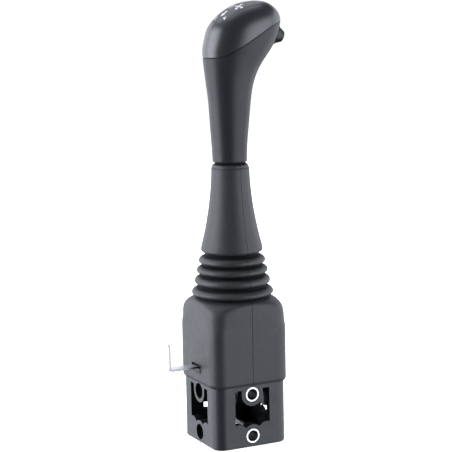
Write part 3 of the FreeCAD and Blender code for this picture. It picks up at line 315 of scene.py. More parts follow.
@dataclass(frozen=True)
class BootRubber(GroovedMoulding):
    """Rubber with painted shade in its folds, dark parting lines and a few specks of dust."""

    line_share: float = 0.95
    line_tone: float = 0.08
    dust: float = 0.5
    dust_tone: float = 3.0
    dust_size: float = 0.0010
    # Noise from which a speck starts, and at which it is full
    dust_level: tuple[float, float] = (0.70, 0.75)

    def pattern(self, graph: Graph, shade: Wire) -> Wire:
        """Lightens the specks, then darkens the colour along the parting lines.

        Args:
            graph: Graph of the material.
            shade: Colour without specks and lines.

        Returns:
            The colour.
        """
        specks = graph.smooth(graph.noise(self.dust_size, detail=1.0), *self.dust_level) * self.dust
        shade = graph.mix(specks, shade, scaled(self.colour, self.dust_tone))
        line = graph.attribute("parting") * self.line_share
        return graph.mix(line, shade, scaled(self.colour, self.line_tone))


@dataclass(frozen=True)
class HousingPlastic(Moulding):
    """Plastic of the square foot, with painted shade inside and in the window reveals."""

    # Half widths of the outer faces, the cavity and a window, and the blur at the cavity's edge, which place
    # the painted shade
    face: float = 0.0297
    cavity: float = 0.0272
    window: float = 0.0147
    cavity_blur: float = 0.0003

    def surface(self, graph: Graph, shader: Wire) -> Wire:
        """Paints shade within the cavity, and within a window's width behind the faces.

        Args:
            graph: Graph of the material.
            shader: Shader of the outer faces.

        Returns:
            The mixed shader.
        """
        x, y = (graph.math("ABSOLUTE", place) for place in graph.coordinates()[:2])
        nearer, further = graph.math("MINIMUM", x, y), graph.math("MAXIMUM", x, y)
        reveal = graph.below(nearer, self.window) * graph.below(further, self.face)
        inside = graph.below(further, self.cavity, self.cavity_blur)
        return self.with_painted_shade(graph, shader, graph.math("MAXIMUM", reveal, inside))


@dataclass(frozen=True)
class Metal(Finish):
    """Metal with drawn or turned lines, or with the pits of a casting."""

    stretch: Colour = (1.0, 1.0, 1.0)
    line_size: float = 0.0006
    line_height: float = 0.000006
    line_gloss: float = 0.16
    stain: float = 0.15
    stain_size: float = 0.009
    stain_gloss: float = 0.10

    def shader(self, graph: Graph) -> Wire:
        """Makes a metallic shader whose colour, roughness and bump follow object coordinates.

        Args:
            graph: Graph of the material.

        Returns:
            The shader.
        """
        stains = graph.noise(self.stain_size, detail=5.0)
        lines = graph.noise(self.line_size, detail=2.0, stretch=self.stretch)
        shade = graph.mix(stains, scaled(self.colour, 1 - self.stain), self.colour)
        gloss = (lines - 0.5) * self.line_gloss + (stains - 0.5) * self.stain_gloss
        return graph.node("BsdfPrincipled", None, {
            "Base Color": self.pattern(graph, shade),
            "Metallic": 1.0,
            "Roughness": self.roughness + gloss,
            "Normal": graph.relief(lines, self.line_height),
        })


@dataclass(frozen=True)
class ShadedTube(Metal):
    """Tube along Y, darkened by painted shade all over but on the flat rings of its two ends."""

    ring: tuple[float, float] = (0.00478, 0.00505)
    end: float = 0.0300
    levels: tuple[float, float] = (0.0084, 0.0404)
    # Colour share left under the painted shade, off the end rings
    painted_shade: float = 0.45
    blur: float = 0.0002
    # How far before the tube's end the ring's colour starts, and is full
    end_band: tuple[float, float] = (0.0006, 0.0003)

    def pattern(self, graph: Graph, shade: Wire) -> Wire:
        """Keeps the colour on the end rings: far along Y, and between two distances from an axis.

        Args:
            graph: Graph of the material.
            shade: Colour of the end rings.

        Returns:
            The colour, darkened by painted shade elsewhere.
        """
        x, y, z = graph.coordinates()
        low, high = self.levels
        rise = graph.math("ABSOLUTE", z - (low + high) / 2) - (high - low) / 2
        radius = graph.math("SQRT", x * x + rise * rise)
        inner, outer = self.ring
        on_ring = graph.smooth(radius, inner - self.blur, inner) * graph.below(radius, outer)
        start, full = (self.end - band for band in self.end_band)
        bright = on_ring * graph.smooth(graph.math("ABSOLUTE", y), start, full)
        # Painted shade on the tube and in its bore; the end rings keep the full colour
        return graph.mix(bright, scaled(self.colour, self.painted_shade), shade)


@dataclass(frozen=True)
class PunchedStrip(Metal):
    """Plated strip along X, darker within a narrow band along both long edges."""

    half: float = 0.0045
    edge: float = 0.0004
    # Share of the band, from the edge inwards, that is fully dark
    edge_full: float = 0.6
    dark: float = 0.30

    def pattern(self, graph: Graph, shade: Wire) -> Wire:
        """Darkens the colour within a narrow band at both edges.

        Args:
            graph: Graph of the material.
            shade: Colour of the faces.

        Returns:
            The colour.
        """
        across = graph.math("ABSOLUTE", graph.coordinates()[1])
        edge_band = graph.smooth(across, self.half - self.edge, self.half - self.edge * self.edge_full)
        return graph.mix(edge_band, shade, scaled(self.colour, self.dark))


@dataclass(frozen=True)
class FloorPaint(Finish):
    """Matt white paint that glows, so that the floor runs into the backdrop."""

    dark: Colour = (0.88, 0.88, 0.88)
    glow: float = 0.75
    blotch: float = 0.6

    def shader(self, graph: Graph) -> Wire:
        """Cloudy shader without gloss."""
        return graph.node("BsdfPrincipled", None, {
            "Base Color": graph.mix(graph.noise(self.blotch), self.dark, self.colour),
            "Roughness": self.roughness,
            "Specular IOR Level": 0.0,
            "Emission Color": (1.0, 1.0, 1.0, 1.0),
            "Emission Strength": self.glow,
        })


class Slot(Enum):
    """Material slots of the record, with the finish of each."""

    HOUSING = HousingPlastic("housing_plastic", (0.027, 0.029, 0.034), 0.44, grain_height=0.00005)
    ZINC = PunchedStrip("zinc_plated_steel", (0.93, 0.93, 0.94), 0.34, stain=0.06)
    BRONZE = Metal("bronze", (0.62, 0.43, 0.22), 0.42)
    RUBBER = BootRubber(
        "boot_rubber", (0.0375, 0.0376, 0.0402), 0.50, cloud=0.16, grain_height=0.00004, groove_share=0.8
    )
    GRIP = GroovedMoulding("grip_plastic", (0.026, 0.027, 0.031), 0.42, grain_height=0.00002, specular=0.35)
    # Lighter than the grip's plastic, partly its own grey and partly painted reflection of the bright
    # surroundings
    INLAY = GroovedMoulding("inlay_gloss", (0.080, 0.082, 0.091), 0.34, grain_height=0.00002)
    BUTTON = Moulding("button_rubber", (0.012, 0.012, 0.013), 0.45)
    TRIM = Moulding("trim_plastic", (0.022, 0.022, 0.024), 0.42)
    CASTING = Metal("cast_steel", (0.07, 0.07, 0.075), 0.62, line_size=0.0012, line_height=0.00006)
    STEEL = Metal("machined_steel", (0.10, 0.10, 0.11), 0.45, stretch=(0.2, 0.2, 1.0))


CAP_GLOSS = GroovedMoulding(
    "cap_gloss", (0.026, 0.027, 0.031), 0.34, gloss_change=0.05, grain_height=0.00001, specular=0.95
)
SLEEVE_ZINC = ShadedTube("zinc_tube_painted_shade", (0.93, 0.93, 0.94), 0.30, line_height=0.000002, stain=0.05)
MARK_PAINT = Moulding("mark_paint", (0.92, 0.92, 0.92), 0.5, cloud=0.04, grain_height=0.00001)
FLOOR_PAINT = FloorPaint("floor_paint", (0.92, 0.92, 0.92), 0.9)


class Palette:
    """Makes each finish once and dresses objects with it."""

    def __init__(self) -> None:
        """Starts with nothing made."""
        self.made: dict[str, bpy.types.Material] = {}

    def paint(self, thing: bpy.types.Object, finish: Finish) -> None:
        """Gives an object one finish all over.

        Args:
            thing: Piece or node of the CAD frame.
            finish: Its finish.
        """
        if finish.name not in self.made:
            self.made[finish.name] = finish.material()
        if not thing.material_slots:
            thing.data.materials.append(None)
        for place in thing.material_slots:
            place.material = self.made[finish.name]

    def dress(
        self,
        piece: bpy.types.Object,
        slot: Slot,
        body: str = "",
        node: str = "",
        finish: Optional[Finish] = None,
    ) -> None:
        """Paints a new piece, puts it on its body and hides what it stands for.

        Args:
            piece: Piece with its final mesh.
            slot: Record's slot that it takes its finish from.
            body: Body that it rides on, if it rides.
            node: CAD node that it replaces, if it replaces one.
            finish: Finish in place of the slot's own.
        """
        self.paint(piece, finish or slot.value)
        if body:
            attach(piece, body)
        if node:
            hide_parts(node)
        LOG.info("%s: %d faces", piece.name, len(piece.data.polygons))


def smoothstep(value: Array, low: float, high: float) -> Array:
    """Smooth step from 0 at low to 1 at high."""
    share = np.clip((value - low) / (high - low), 0.0, 1.0)
    return share * share * (3 - 2 * share)


def soft_least(first: Array, second: Array, blend: float) -> Array:
    """Lesser of two values, rounded where they cross: -b log(exp(-first / b) + exp(-second / b))."""
    return -blend * np.logaddexp(-first / blend, -second / blend)


def spline(knots: Array, values: Array) -> Curve:
    """Natural cubic splines.

    Their second derivatives solve the usual three-term equations at the inner knots.

    Args:
        knots: Rising parameters.
        values: One row for each spline, with one value at each knot.

    Returns:
        Function from parameters to one array of values for each spline.
    """
    steps = np.diff(knots)
    count = len(knots)
    system = np.eye(count)
    inner = np.arange(1, count - 1)
    system[inner, inner - 1] = steps[:-1]
    system[inner, inner] = 2 * (steps[:-1] + steps[1:])
    system[inner, inner + 1] = steps[1:]
    right = np.zeros_like(values)
    right[:, 1:-1] = 6 * np.diff(np.diff(values) / steps)
    bends = np.linalg.solve(system, right.T).T

    def evaluate(where: Array) -> Array:
        """Works out the cubic between the two knots beside each parameter.

        Args:
            where: Parameters, within the knots.

        Returns:
            Values of each spline.
        """
        index = np.clip(np.searchsorted(knots, where) - 1, 0, count - 2)
        step = steps[index]
        up = (where - knots[index]) / step
        down = 1 - up
        curve = ((down**3 - down) * bends[:, index] + (up**3 - up) * bends[:, index + 1]) * step**2 / 6
        return down * values[:, index] + up * values[:, index + 1] + curve

    return evaluate


def find_root(function: Curve, low: Union[Array, float], high: float, rounds: int = 48) -> Array:
    """Parameter at which a rising function passes zero, by halving whole arrays.

    Args:
        function: Function of a parameter or of an array of parameters.
        low: Where it is below zero.
        high: Where it is above zero.
        rounds: Number of halvings.

    Returns:
        The parameters.
    """
    for _ in range(rounds):
        middle = (low + high) / 2
        above = function(middle) > 0
        low, high = np.where(above, low, middle), np.where(above, middle, high)
    return (low + high) / 2


def grid_normals(points: Array) -> Array:
    """Unit normals of a grid whose columns close into a ring: the cross product of its two tangents.

    Args:
        points: Array of rows, columns and 3 coordinates.

    Returns:
        The normals, in the same order.
    """
    along = np.gradient(points, axis=0)
    around = np.roll(points, -1, axis=1) - np.roll(points, 1, axis=1)
    normals = np.cross(around, along)
    return normals / np.maximum(np.linalg.norm(normals, axis=2, keepdims=True), TINY)


def new_object(name: str, data: bpy.types.ID) -> bpy.types.Object:
    """Makes an object and links it into the scene.

    Args:
        name: Name of the object.
        data: Its mesh, light or camera.

    Returns:
        The object.
    """
    thing = bpy.data.objects.new(name, data)
    bpy.context.scene.collection.objects.link(thing)
    return thing


def mesh_object(name: str, vertices: Sequence, faces: Sequence) -> bpy.types.Object:
    """Makes an object with a smooth mesh.

    Args:
        name: Name of the object and its mesh.
        vertices: Corners, in metres.
        faces: Numbers of each face's corners.

    Returns:
        The object.
    """
    mesh = bpy.data.meshes.new(name)
    mesh.from_pydata(vertices, [], faces, shade_flat=False)
    return new_object(name, mesh)


def grid_mesh(name: str, points: Array, closed_rows: bool = False, pole: bool = False) -> bpy.types.Object:
    """Mesh of quads on a grid whose columns close into a ring.

    Args:
        name: Name of the piece.
        points: Array of rows, columns and 3 coordinates, in millimetres.
        closed_rows: Whether the last row joins the first, as on a torus.
        pole: Whether a fan of triangles closes the last row.

    Returns:
        The object, whose faces point outwards where rows rise and columns turn anticlockwise.
    """
    ids = np.arange(points[..., 0].size).reshape(points.shape[:2])
    lower, upper = (ids, np.roll(ids, -1, axis=0)) if closed_rows else (ids[:-1], ids[1:])
    quads = np.stack([lower, np.roll(lower, -1, axis=1), np.roll(upper, -1, axis=1), upper], axis=-1)
    vertices, faces = points.reshape(-1, 3), quads.reshape(-1, 4).tolist()
    if pole:
        tip = np.full_like(ids[-1], len(vertices))
        vertices = np.vstack([vertices, points[-1].mean(axis=0)])
        faces += np.stack([ids[-1], np.roll(ids[-1], -1), tip], axis=-1).tolist()
    return mesh_object(name, vertices * MM, faces)


def set_attribute(thing: bpy.types.Object, name: str, values: Array) -> None:
    """Stores one number for each vertex of a grid.

    Args:
        thing: Piece made from the grid.
        name: Name of the attribute.
        values: Numbers, in the order of the grid's points.
    """
    padded = np.zeros(len(thing.data.vertices), np.float32)
    padded[: values.size] = values.reshape(-1)
    thing.data.attributes.new(name, "FLOAT", "POINT").data.foreach_set("value", padded)


def add_modifier(thing: bpy.types.Object, kind: str, **settings: Any) -> None:
    """Adds a modifier with its settings."""
    with_settings(thing.modifiers.new(kind.lower(), kind), **settings)


def bake_modifiers(thing: bpy.types.Object, sharp_degrees: float = WALLED_EDGE) -> None:
    """Applies an object's modifiers and keeps its sharp edges crisp.

    Args:
        thing: Object with modifiers.
        sharp_degrees: Angle between two faces from which their edge is sharp.
    """
    depsgraph = bpy.context.evaluated_depsgraph_get()
    mesh = bpy.data.meshes.new_from_object(thing.evaluated_get(depsgraph))
    thing.modifiers.clear()
    thing.data = mesh
    mesh.shade_smooth()
    mesh.set_sharp_from_angle(angle=math.radians(sharp_degrees))


def thicken(thing: bpy.types.Object, wall: float) -> None:
    """Adds a wall, in millimetres, on the inner side of a surface."""
    add_modifier(thing, "SOLIDIFY", thickness=wall * MM, offset=-1.0, use_rim=True)


def cut_with(thing: bpy.types.Object, cutter: bpy.types.Object) -> None:
    """Takes a closed cutter out of a closed piece, then removes the cutter.

    Args:
        thing: Piece to open, whose modifiers are applied.
        cutter: Solid of the opening.
    """
    add_modifier(thing, "BOOLEAN", operation="DIFFERENCE", solver="EXACT", object=cutter)
    bake_modifiers(thing)
    bpy.data.objects.remove(cutter)


def axes_along(direction: Sequence[float]) -> tuple[Array, Array, Array]:
    """Works out a direction's own three axes.

    Args:
        direction: Vector of any length.

    Returns:
        Unit vectors along the direction and along two others, all at right angles.
    """
    axis = Vector(direction).normalized()
    across = axis.orthogonal().normalized()
    return np.array(axis), np.array(across), np.array(axis.cross(across))


def circle(count: int) -> Array:
    """Angles of evenly spaced points round a circle."""
    return np.linspace(0.0, TURN, count, endpoint=False)


def lathe(
    name: str, profile: Sequence, centre: Sequence[float], direction: Sequence[float], columns: int = 96
) -> bpy.types.Object:
    """Solid of revolution whose profile starts and ends on its axis, or closes on itself.

    Each point of the profile is carried round the axis: centre + height * direction + radius *
    (cos * across + sin * side).

    Args:
        name: Name of the piece.
        profile: Radius and height of each point, so that outer faces come with rising height.
        centre: Point on the axis from which heights count.
        direction: Vector along the axis.
        columns: Faces round the axis.

    Returns:
        The object.
    """
    axis, across, side = axes_along(direction)
    radius, height = np.array(profile, float).T[:, :, None, None]
    angle = circle(columns)[:, None]
    points = np.array(centre) + height * axis + radius * (np.cos(angle) * across + np.sin(angle) * side)
    thing = grid_mesh(name, points, closed_rows=profile[0][0] > 0)
    add_modifier(thing, "WELD", merge_threshold=WELD_DISTANCE)
    bake_modifiers(thing, TURNED_EDGE)
    return thing


def rounded_corner(centre: tuple[float, float], radius: float, start: float, end: float, count: int) -> list:
    """Points of an arc of a profile, angles in degrees."""
    angles = np.radians(np.linspace(start, end, count))
    return [(centre[0] + radius * math.cos(a), centre[1] + radius * math.sin(a)) for a in angles]


@dataclass(frozen=True)
class SoftBox:
    """Rectangular light, placed by its bearing to the right of the camera."""

    name: str
    bearing: float
    distance: float
    height: float
    width: float
    tall: float
    radiance: float


@dataclass
class Studio:
    """Camera of the photograph, pale floor and soft boxes."""

    # Camera, in degrees and millimetres
    azimuth: float = -26.2
    elevation: float = 9.22
    roll: float = -1.13
    distance: float = 1220.0
    shift_right: float = -7.2
    shift_up: float = 161.8
    lens: float = 126.4
    sensor: float = 36.0
    # From here on, lengths are in metres
    clip_start: float = 0.05
    floor_half: float = 6.0
    floor_level: float = -0.0002
    floor_sun: float = 1.0
    sun_spread: float = 70.0
    # Brightness of the surroundings as the camera sees them, and as they light the object
    backdrop: float = 1.03
    room: float = 0.045
    aim: tuple = (0.0, 0.0, 0.16)
    boxes: tuple = (
        SoftBox("left_box", -80.0, 1.2, 0.36, 1.1, 1.7, 4.9),
        SoftBox("rear_left_box", -130.0, 1.3, 0.20, 1.0, 1.6, 2.3),
        SoftBox("right_box", 62.0, 1.2, 0.15, 1.2, 1.6, 2.8),
        SoftBox("rear_right_box", 120.0, 1.3, 0.15, 1.3, 1.6, 1.9),
        SoftBox("rear_box", 180.0, 1.4, 0.45, 1.6, 1.1, 1.0),
        SoftBox("top_box", -160.0, 0.5, 1.4, 1.3, 1.3, 1.7),
    )
    light_tint: Colour = (0.88, 0.92, 1.0)

    def directions(self) -> tuple[Array, Array, Array]:
        """Works out which way the camera is turned, with its roll.

        Returns:
            Unit vectors to its right, to its top and to its back.
        """
        azimuth, elevation, roll = (math.radians(a) for a in (self.azimuth, self.elevation, self.roll))
        back = np.array([
            math.sin(azimuth) * math.cos(elevation),
            -math.cos(azimuth) * math.cos(elevation),
            math.sin(elevation),
        ])
        level = np.cross([0.0, 0.0, 1.0], back)
        level /= np.linalg.norm(level)
        upright = np.cross(back, level)
        right = math.cos(roll) * level + math.sin(roll) * upright
        up = math.cos(roll) * upright - math.sin(roll) * level
        return right, up, back

    def camera(self) -> None:
        """Places the camera where the photograph was taken."""
        right, up, back = self.directions()
        place = (right * self.shift_right + up * self.shift_up + back * self.distance) * MM
        data = bpy.data.cameras.new("photo_camera")
        with_settings(data, lens=self.lens, sensor_width=self.sensor, clip_start=self.clip_start)
        camera = new_object("photo_camera", data)
        turn = Matrix((right, up, back)).transposed().to_4x4()
        camera.matrix_world = Matrix.Translation(Vector(place)) @ turn
        bpy.context.scene.camera = camera

    def floor(self) -> bpy.types.Object:
        """Lays a white floor just under the foot, with a faint shadow and no reflection on the object.

        Returns:
            The floor.
        """
        half, level = self.floor_half, self.floor_level
        corners = [(-half, -half, level), (half, -half, level), (half, half, level), (-half, half, level)]
        floor = mesh_object("floor", corners, [(0, 1, 2, 3)])
        with_settings(floor, visible_glossy=False, visible_diffuse=False, visible_shadow=False)
        floor.data.materials.append(FLOOR_PAINT.material())
        return floor

    def floor_light(self, floor: bpy.types.Object) -> None:
        """Hangs a soft light straight above that falls on the floor alone.

        Args:
            floor: The floor.
        """
        data = bpy.data.lights.new("floor_light", "SUN")
        with_settings(data, energy=self.floor_sun, angle=math.radians(self.sun_spread))
        receivers = bpy.data.collections.new("floor_light_receivers")
        receivers.objects.link(floor)
        new_object("floor_light", data).light_linking.receiver_collection = receivers

    def soft_box(self, box: SoftBox) -> None:
        """Adds one soft box, which faces the middle of the object.

        Args:
            box: Its place, size and radiance, from which its power follows as pi * area * radiance.
        """
        back = self.directions()[2]
        flat_back = np.array([back[0], back[1], 0.0]) / math.hypot(back[0], back[1])
        flat_right = np.cross([0.0, 0.0, 1.0], flat_back)
        turn = math.radians(box.bearing)
        ray = flat_back * math.cos(turn) + flat_right * math.sin(turn)
        place = Vector(ray * box.distance) + Vector((0.0, 0.0, box.height))
        data = with_settings(bpy.data.lights.new(box.name, "AREA"), shape="RECTANGLE", color=self.light_tint)
        power = math.pi * box.width * box.tall * box.radiance
        with_settings(data, size=box.width, size_y=box.tall, energy=power)
        light = with_settings(new_object(box.name, data), location=place, rotation_mode="QUATERNION")
        light.rotation_quaternion = (Vector(self.aim) - place).to_track_quat("-Z", "Y")
        light.visible_camera = False

    def world(self) -> None:
        """White surroundings for the camera, and dim, even ones as light."""
        world = bpy.data.worlds.new("studio")
        bpy.context.scene.world = world
        world.use_nodes = True
        graph = Graph(world.node_tree)
        strength = graph.node("LightPath", output="Is Camera Ray") * (self.backdrop - self.room) + self.room
        shader = graph.node("Background", None, {"Color": (1.0, 1.0, 1.0, 1.0), "Strength": strength})
        graph.node("OutputWorld", None, {"Surface": shader})

    def build(self) -> None:
        """Sets up the whole studio."""
        self.camera()
        self.floor_light(self.floor())
        for box in self.boxes:
            self.soft_box(box)
        self.world()
        bpy.context.scene.view_settings.view_transform = "Standard"
        LOG.info("studio: camera %.1f mm, azimuth %.1f", self.lens, self.azimuth)


@dataclass
class Boot:
    """Rubber boot in two pieces: skirt and lower folds, upper folds and cone."""

    columns: int = 300
    # How much the columns crowd together at the parting lines
    crowding: float = 0.45
    skirt_half: float = 31.7
    skirt_corner: float = 9.5
    skirt_foot: float = 47.5
    foot_taper: float = 0.8
    foot_taper_height: float = 2.4
    taper_power: float = 1.6
    shoulder_foot: float = 97.0
    shoulder_reach: float = 15.4
    shoulder_rise: float = 13.8
    shoulder_power: float = 1.25
    shoulder_centre: float = 26.7
    shoulder_blend: float = 2.4
    # First angle of the shoulder's quarter circle
    shoulder_start: float = 3.0
    # How far below its top the wall starts to fade into the shoulder
    wall_fade: float = 9.0
    # Even rows of the tapered lip, the wall and the shoulder, and the gap between the first two
    skirt_rows: tuple = (5, 24, 34)
    wall_gap: float = 0.5
    # Height and radius of each fold's crest, then of the lip at the cone's foot
    folds: tuple = ((114.7, 30.9), (123.9, 28.4), (131.6, 26.8), (138.9, 25.1), (147.7, 23.2))
    fold_depth: float = 6.0
    fold_rows: int = 35
    # How far the last lip goes on into the cone
    last_lip: float = 1.0
    # Shares of the depth from which painted shade starts in a fold, and at which it is full
    fold_shade: tuple = (0.15, 0.6)
    lip_share: float = 0.78
    lip_fullness: float = 2.3
    slope_share: float = 0.36
    first_valley: float = 111.3
    # Folds in the lower piece
    split_fold: int = 2
    # How far inside and above the last crest the cone starts
    cone_start: tuple = (0.15, 1.4)
    cone_rows: int = 46
    cone_top: float = 211.1
    cone_top_radius: float = 14.2
    cone_flare: float = 263.0
    # How far the top rim's rounding comes in, and its height
    rim_round: tuple = (1.3, 2.6)
    # First angle of the rim's quarter ellipse, and its rows
    rim_start: float = 8.0
    rim_rows: int = 9
    rim_crease: float = 0.45
    # Painted shade in the crease under the top rim, and its half width
    crease_shade: float = 0.55
    crease_half_width: float = 0.3
    wall: float = 2.0
    parting_height: float = 0.12
    parting_half_width: float = 0.31
    # How far the parting lines stand off the Y axis: height, then degrees towards +X
    parting_path: tuple = ((97.0, 0.8), (140.0, 2.2), (147.7, 5.0), (209.4, 7.2))
    slot_half: float = 7.0
    slot_foot: float = 56.0
    slot_top: float = 62.0
    # The slot is a slit over the strip, and reaches down to its foot only at its end near -Y
    slit_foot: float = 58.6
    slot_end: float = 1.7
    lip_radius: float = 0.55
    lip_squareness: float = 0.3
    lip_flatness: float = 0.8
    # Points along the lip and round its section
    lip_grid: tuple = (96, 16)
    # How far the lip's middle lies outside the slot's sides and its ends
    lip_gap: tuple = (0.5, 0.4)
    # Where the slot's cutter starts and ends along X, from the skirt's face
    cutter_reach: tuple = (-4.0, 6.0)
    # How far below the lowest crest the skirt piece's start lies
    bend_lead: float = 6.0

    def square_radius(self, angle: Array, inset: float = 0.0) -> Array:
        """Distance from the axis to a square with round corners, along each angle.

        A ray meets the flat side at half / max(|cos|, |sin|), and past the flat's end it meets the
        corner's circle at p + sqrt(r^2 - q^2), where p and q are the circle's centre along and
        across the ray.

        Args:
            angle: Angles.
            inset: How much smaller the square is on each side.

        Returns:
            The distances.
        """
        half, corner = self.skirt_half - inset, self.skirt_corner
        cosine, sine = np.abs(np.cos(angle)), np.abs(np.sin(angle))
        flat = half / np.maximum(cosine, sine)
        centre = half - corner
        across = centre * (cosine - sine)
        arc = centre * (cosine + sine) + np.sqrt(np.maximum(corner**2 - across**2, 0.0))
        return np.where(np.minimum(cosine, sine) * flat <= centre, flat, arc)

    def skirt(self, angle: Array) -> tuple[Array, Array]:
        """Rows of the skirt and its shoulder.

        The skirt is a tapered lip and a straight wall. The shoulder is the soft minimum of the
        square and a round whose radius follows a quarter circle. The top of the wall fades over to
        the same soft minimum.

        Args:
            angle: Angle of each column.

        Returns:
            Radius of each row and column, and height of each row.
        """
        lip_rows, wall_rows, shoulder_rows = self.skirt_rows
        rise = np.linspace(0.0, self.foot_taper_height, lip_rows)
        taper = self.foot_taper * (1 - rise / self.foot_taper_height) ** self.taper_power
        lip = [self.square_radius(angle, inset) for inset in taper]
        square = self.square_radius(angle)
        wall_foot = self.skirt_foot + self.foot_taper_height + self.wall_gap
        wall_height = np.linspace(wall_foot, self.shoulder_foot, wall_rows)
        first = soft_least(square, self.shoulder_centre + self.shoulder_reach, self.shoulder_blend)
        fade = smoothstep(wall_height, self.shoulder_foot - self.wall_fade, self.shoulder_foot)[:, None]
        turn = np.radians(np.linspace(self.shoulder_start, 90.0, shoulder_rows))
        round_radius = self.shoulder_centre + self.shoulder_reach * np.cos(turn) ** self.shoulder_power
        shoulder = soft_least(square, round_radius[:, None], self.shoulder_blend)
        shoulder_height = self.shoulder_foot + self.shoulder_rise * np.sin(turn)
        return (
            np.vstack([lip, square * (1 - fade) + first * fade, shoulder]),
            np.concatenate([self.skirt_foot + rise, wall_height, shoulder_height]),
        )

    def fold(self, index: int) -> tuple[Array, Array]:
        """One fold, from the root below it, over its round lip, to the root above.

        The lip is half a superellipse, (1 - |s|^n)^(1/n) over the lip's own half height. A low
        cosine slope leads from the roots to it, and the larger of the two counts. The roots'
        radius follows the crests' taper.

        Args:
            index: Number of the fold from below. Of the last one only the lower half is made.

        Returns:
            Radius and height of each row.
        """
        levels, crests = np.array(self.folds).T
        level, last = levels[index], index == len(levels) - 1
        below = (level + levels[index - 1]) / 2 if index else self.first_valley
        above = level + self.last_lip if last else (level + levels[index + 1]) / 2
        rows = self.fold_rows // 2 + 1 if last else self.fold_rows
        turn = np.radians(np.linspace(-90.0, 0.0 if last else 90.0, rows))[1:]
        reach = np.where(turn < 0, level - below, above - level)
        height = level + reach * np.sin(turn)
        share = np.clip(np.abs(height - level) / (reach * self.lip_share), 0.0, 1.0)
        lip = (1 - share**self.lip_fullness) ** (1 / self.lip_fullness)
        slope = np.cos(turn) ** 2 * self.slope_share
        return np.interp(height, levels, crests) + self.fold_depth * (np.maximum(lip, slope) - 1), height

    def cone(self) -> tuple[Array, Array]:
        """Hollow flank of the cone, an arc through its two ends, then a crease and the top rim.

        The rim is a quarter of an ellipse.

        Returns:
            Radius and height of each row.
        """
        foot_height, foot_radius = self.folds[-1]
        inward, rise = self.rim_round
        start = np.array([foot_radius - self.cone_start[0], foot_height + self.cone_start[1]])
        end = np.array([self.cone_top_radius, self.cone_top - rise])
        chord = end - start
        length = np.linalg.norm(chord)
        reach = math.sqrt(self.cone_flare**2 - length**2 / 4)
        centre = (start + end) / 2 + reach * np.array([chord[1], -chord[0]]) / length
        height = np.linspace(start[1], end[1], self.cone_rows)
        radius = centre[0] - np.sqrt(self.cone_flare**2 - (height - centre[1]) ** 2)
        turn = np.radians(np.linspace(self.rim_start, 90.0, self.rim_rows))
        rim_radius = self.cone_top_radius - self.rim_crease - inward * (1 - np.cos(turn))
        rim_height = self.cone_top - rise * (1 - np.sin(turn))
        return (
            np.concatenate([radius, rim_radius, [self.cone_top_radius - self.wall]]),
            np.concatenate([height, rim_height, [self.cone_top]]),
        )

    def surface(self, angle: Array, radius: Array, height: Array) -> tuple[Array, Array, Array]:
        """Points of a stretch of the boot, with its two parting lines.

        A parting line is a low ridge along the columns near +Y and -Y. Each row is turned by the
        parting path, so on the cone the lines drift towards +X.

        Args:
            angle: Angle of each column.
            radius: Radius of each row and column.
            height: Height of each row.

        Returns:
            Points, how much each lies on a line, and how deep it lies in a fold or in the crease
            under the top rim.
        """
        levels, degrees = np.array(self.parting_path).T
        turned = angle - np.radians(degrees[0])
        away = np.abs(np.mod(turned, math.pi) - math.pi / 2) * radius
        line = np.exp(-((away / self.parting_half_width) ** 2))
        reach = radius + self.parting_height * line
        swing = np.radians(np.interp(height, levels, degrees) - degrees[0])[:, None]
        around = angle + swing * np.where(np.sin(turned) > 0, -1.0, 1.0) * np.sin(turned) ** 2
        heights = np.broadcast_to(height[:, None], reach.shape)
        points = np.stack([reach * np.cos(around), reach * np.sin(around), heights], axis=-1)
        fold_levels, crests = np.array(self.folds).T
        depth = (np.interp(height, fold_levels, crests)[:, None] - radius) / self.fold_depth
        # Painted shade deep in the folds, and in the crease under the top rim
        among = smoothstep(height, self.first_valley, fold_levels[0]) * (height < fold_levels[-1])
        below_rim = height - (self.cone_top - self.rim_round[1])
        crease = self.crease_shade * np.exp(-((below_rim / self.crease_half_width) ** 2))
        return points, line, smoothstep(depth, *self.fold_shade) * among[:, None] + crease[:, None]

    def slot_lip(self) -> bpy.types.Object:
        """Makes the rounded lip round the lock's slot: a small circle carried round a rounded rectangle.

        The rectangle is (side * cos^n, rise * sin^n), with the signs kept, and the circle's plane
        follows its rough normal. The circle is flatter along X.

        Returns:
            The lip.
        """
        side = self.slot_half + self.lip_gap[0]
        rise = (self.slot_top - self.slot_foot) / 2 + self.lip_gap[1]
        turn, around = (circle(count) for count in self.lip_grid)
        around = around[:, None]
        across, up = (
            size * np.sign(value) * np.abs(value) ** self.lip_squareness
            for size, value in ((side, np.cos(turn)), (rise, np.sin(turn)))
        )
        way = np.stack([across / side**1.5, up / rise**1.5])
        way *= self.lip_radius / np.linalg.norm(way, axis=0)
        outward = -self.skirt_half - self.lip_radius * self.lip_flatness * np.sin(around) + 0.0 * turn
        middle = (self.slot_top + self.slot_foot) / 2
        across, up = across + np.cos(around) * way[0], middle + up + np.cos(around) * way[1]
        return grid_mesh("boot_slot_lip", np.stack([outward, across, up], axis=-1), closed_rows=True)

    def slot_cutter(self) -> bpy.types.Object:
        """Makes the bar of the slot's outline, along X, that opens the skirt.

        Returns:
            The bar.
        """
        half, end = self.slot_half, self.slot_half - self.slot_end
        outline = [
            (-half, self.slot_foot), (-end, self.slot_foot), (-end, self.slit_foot),
            (half, self.slit_foot), (half, self.slot_top), (-half, self.slot_top),
        ]
        count = len(outline)
        depths = [reach - self.skirt_half for reach in self.cutter_reach]
        vertices = [(x * MM, y * MM, z * MM) for x in depths for y, z in outline]
        pairs = [(here, (here + 1) % count) for here in range(count)]
        sides = [(here, then, then + count, here + count) for here, then in pairs]
        ends = [tuple(range(count - 1, -1, -1)), tuple(range(count, 2 * count))]
        return mesh_object("slot_cutter", vertices, sides + ends)

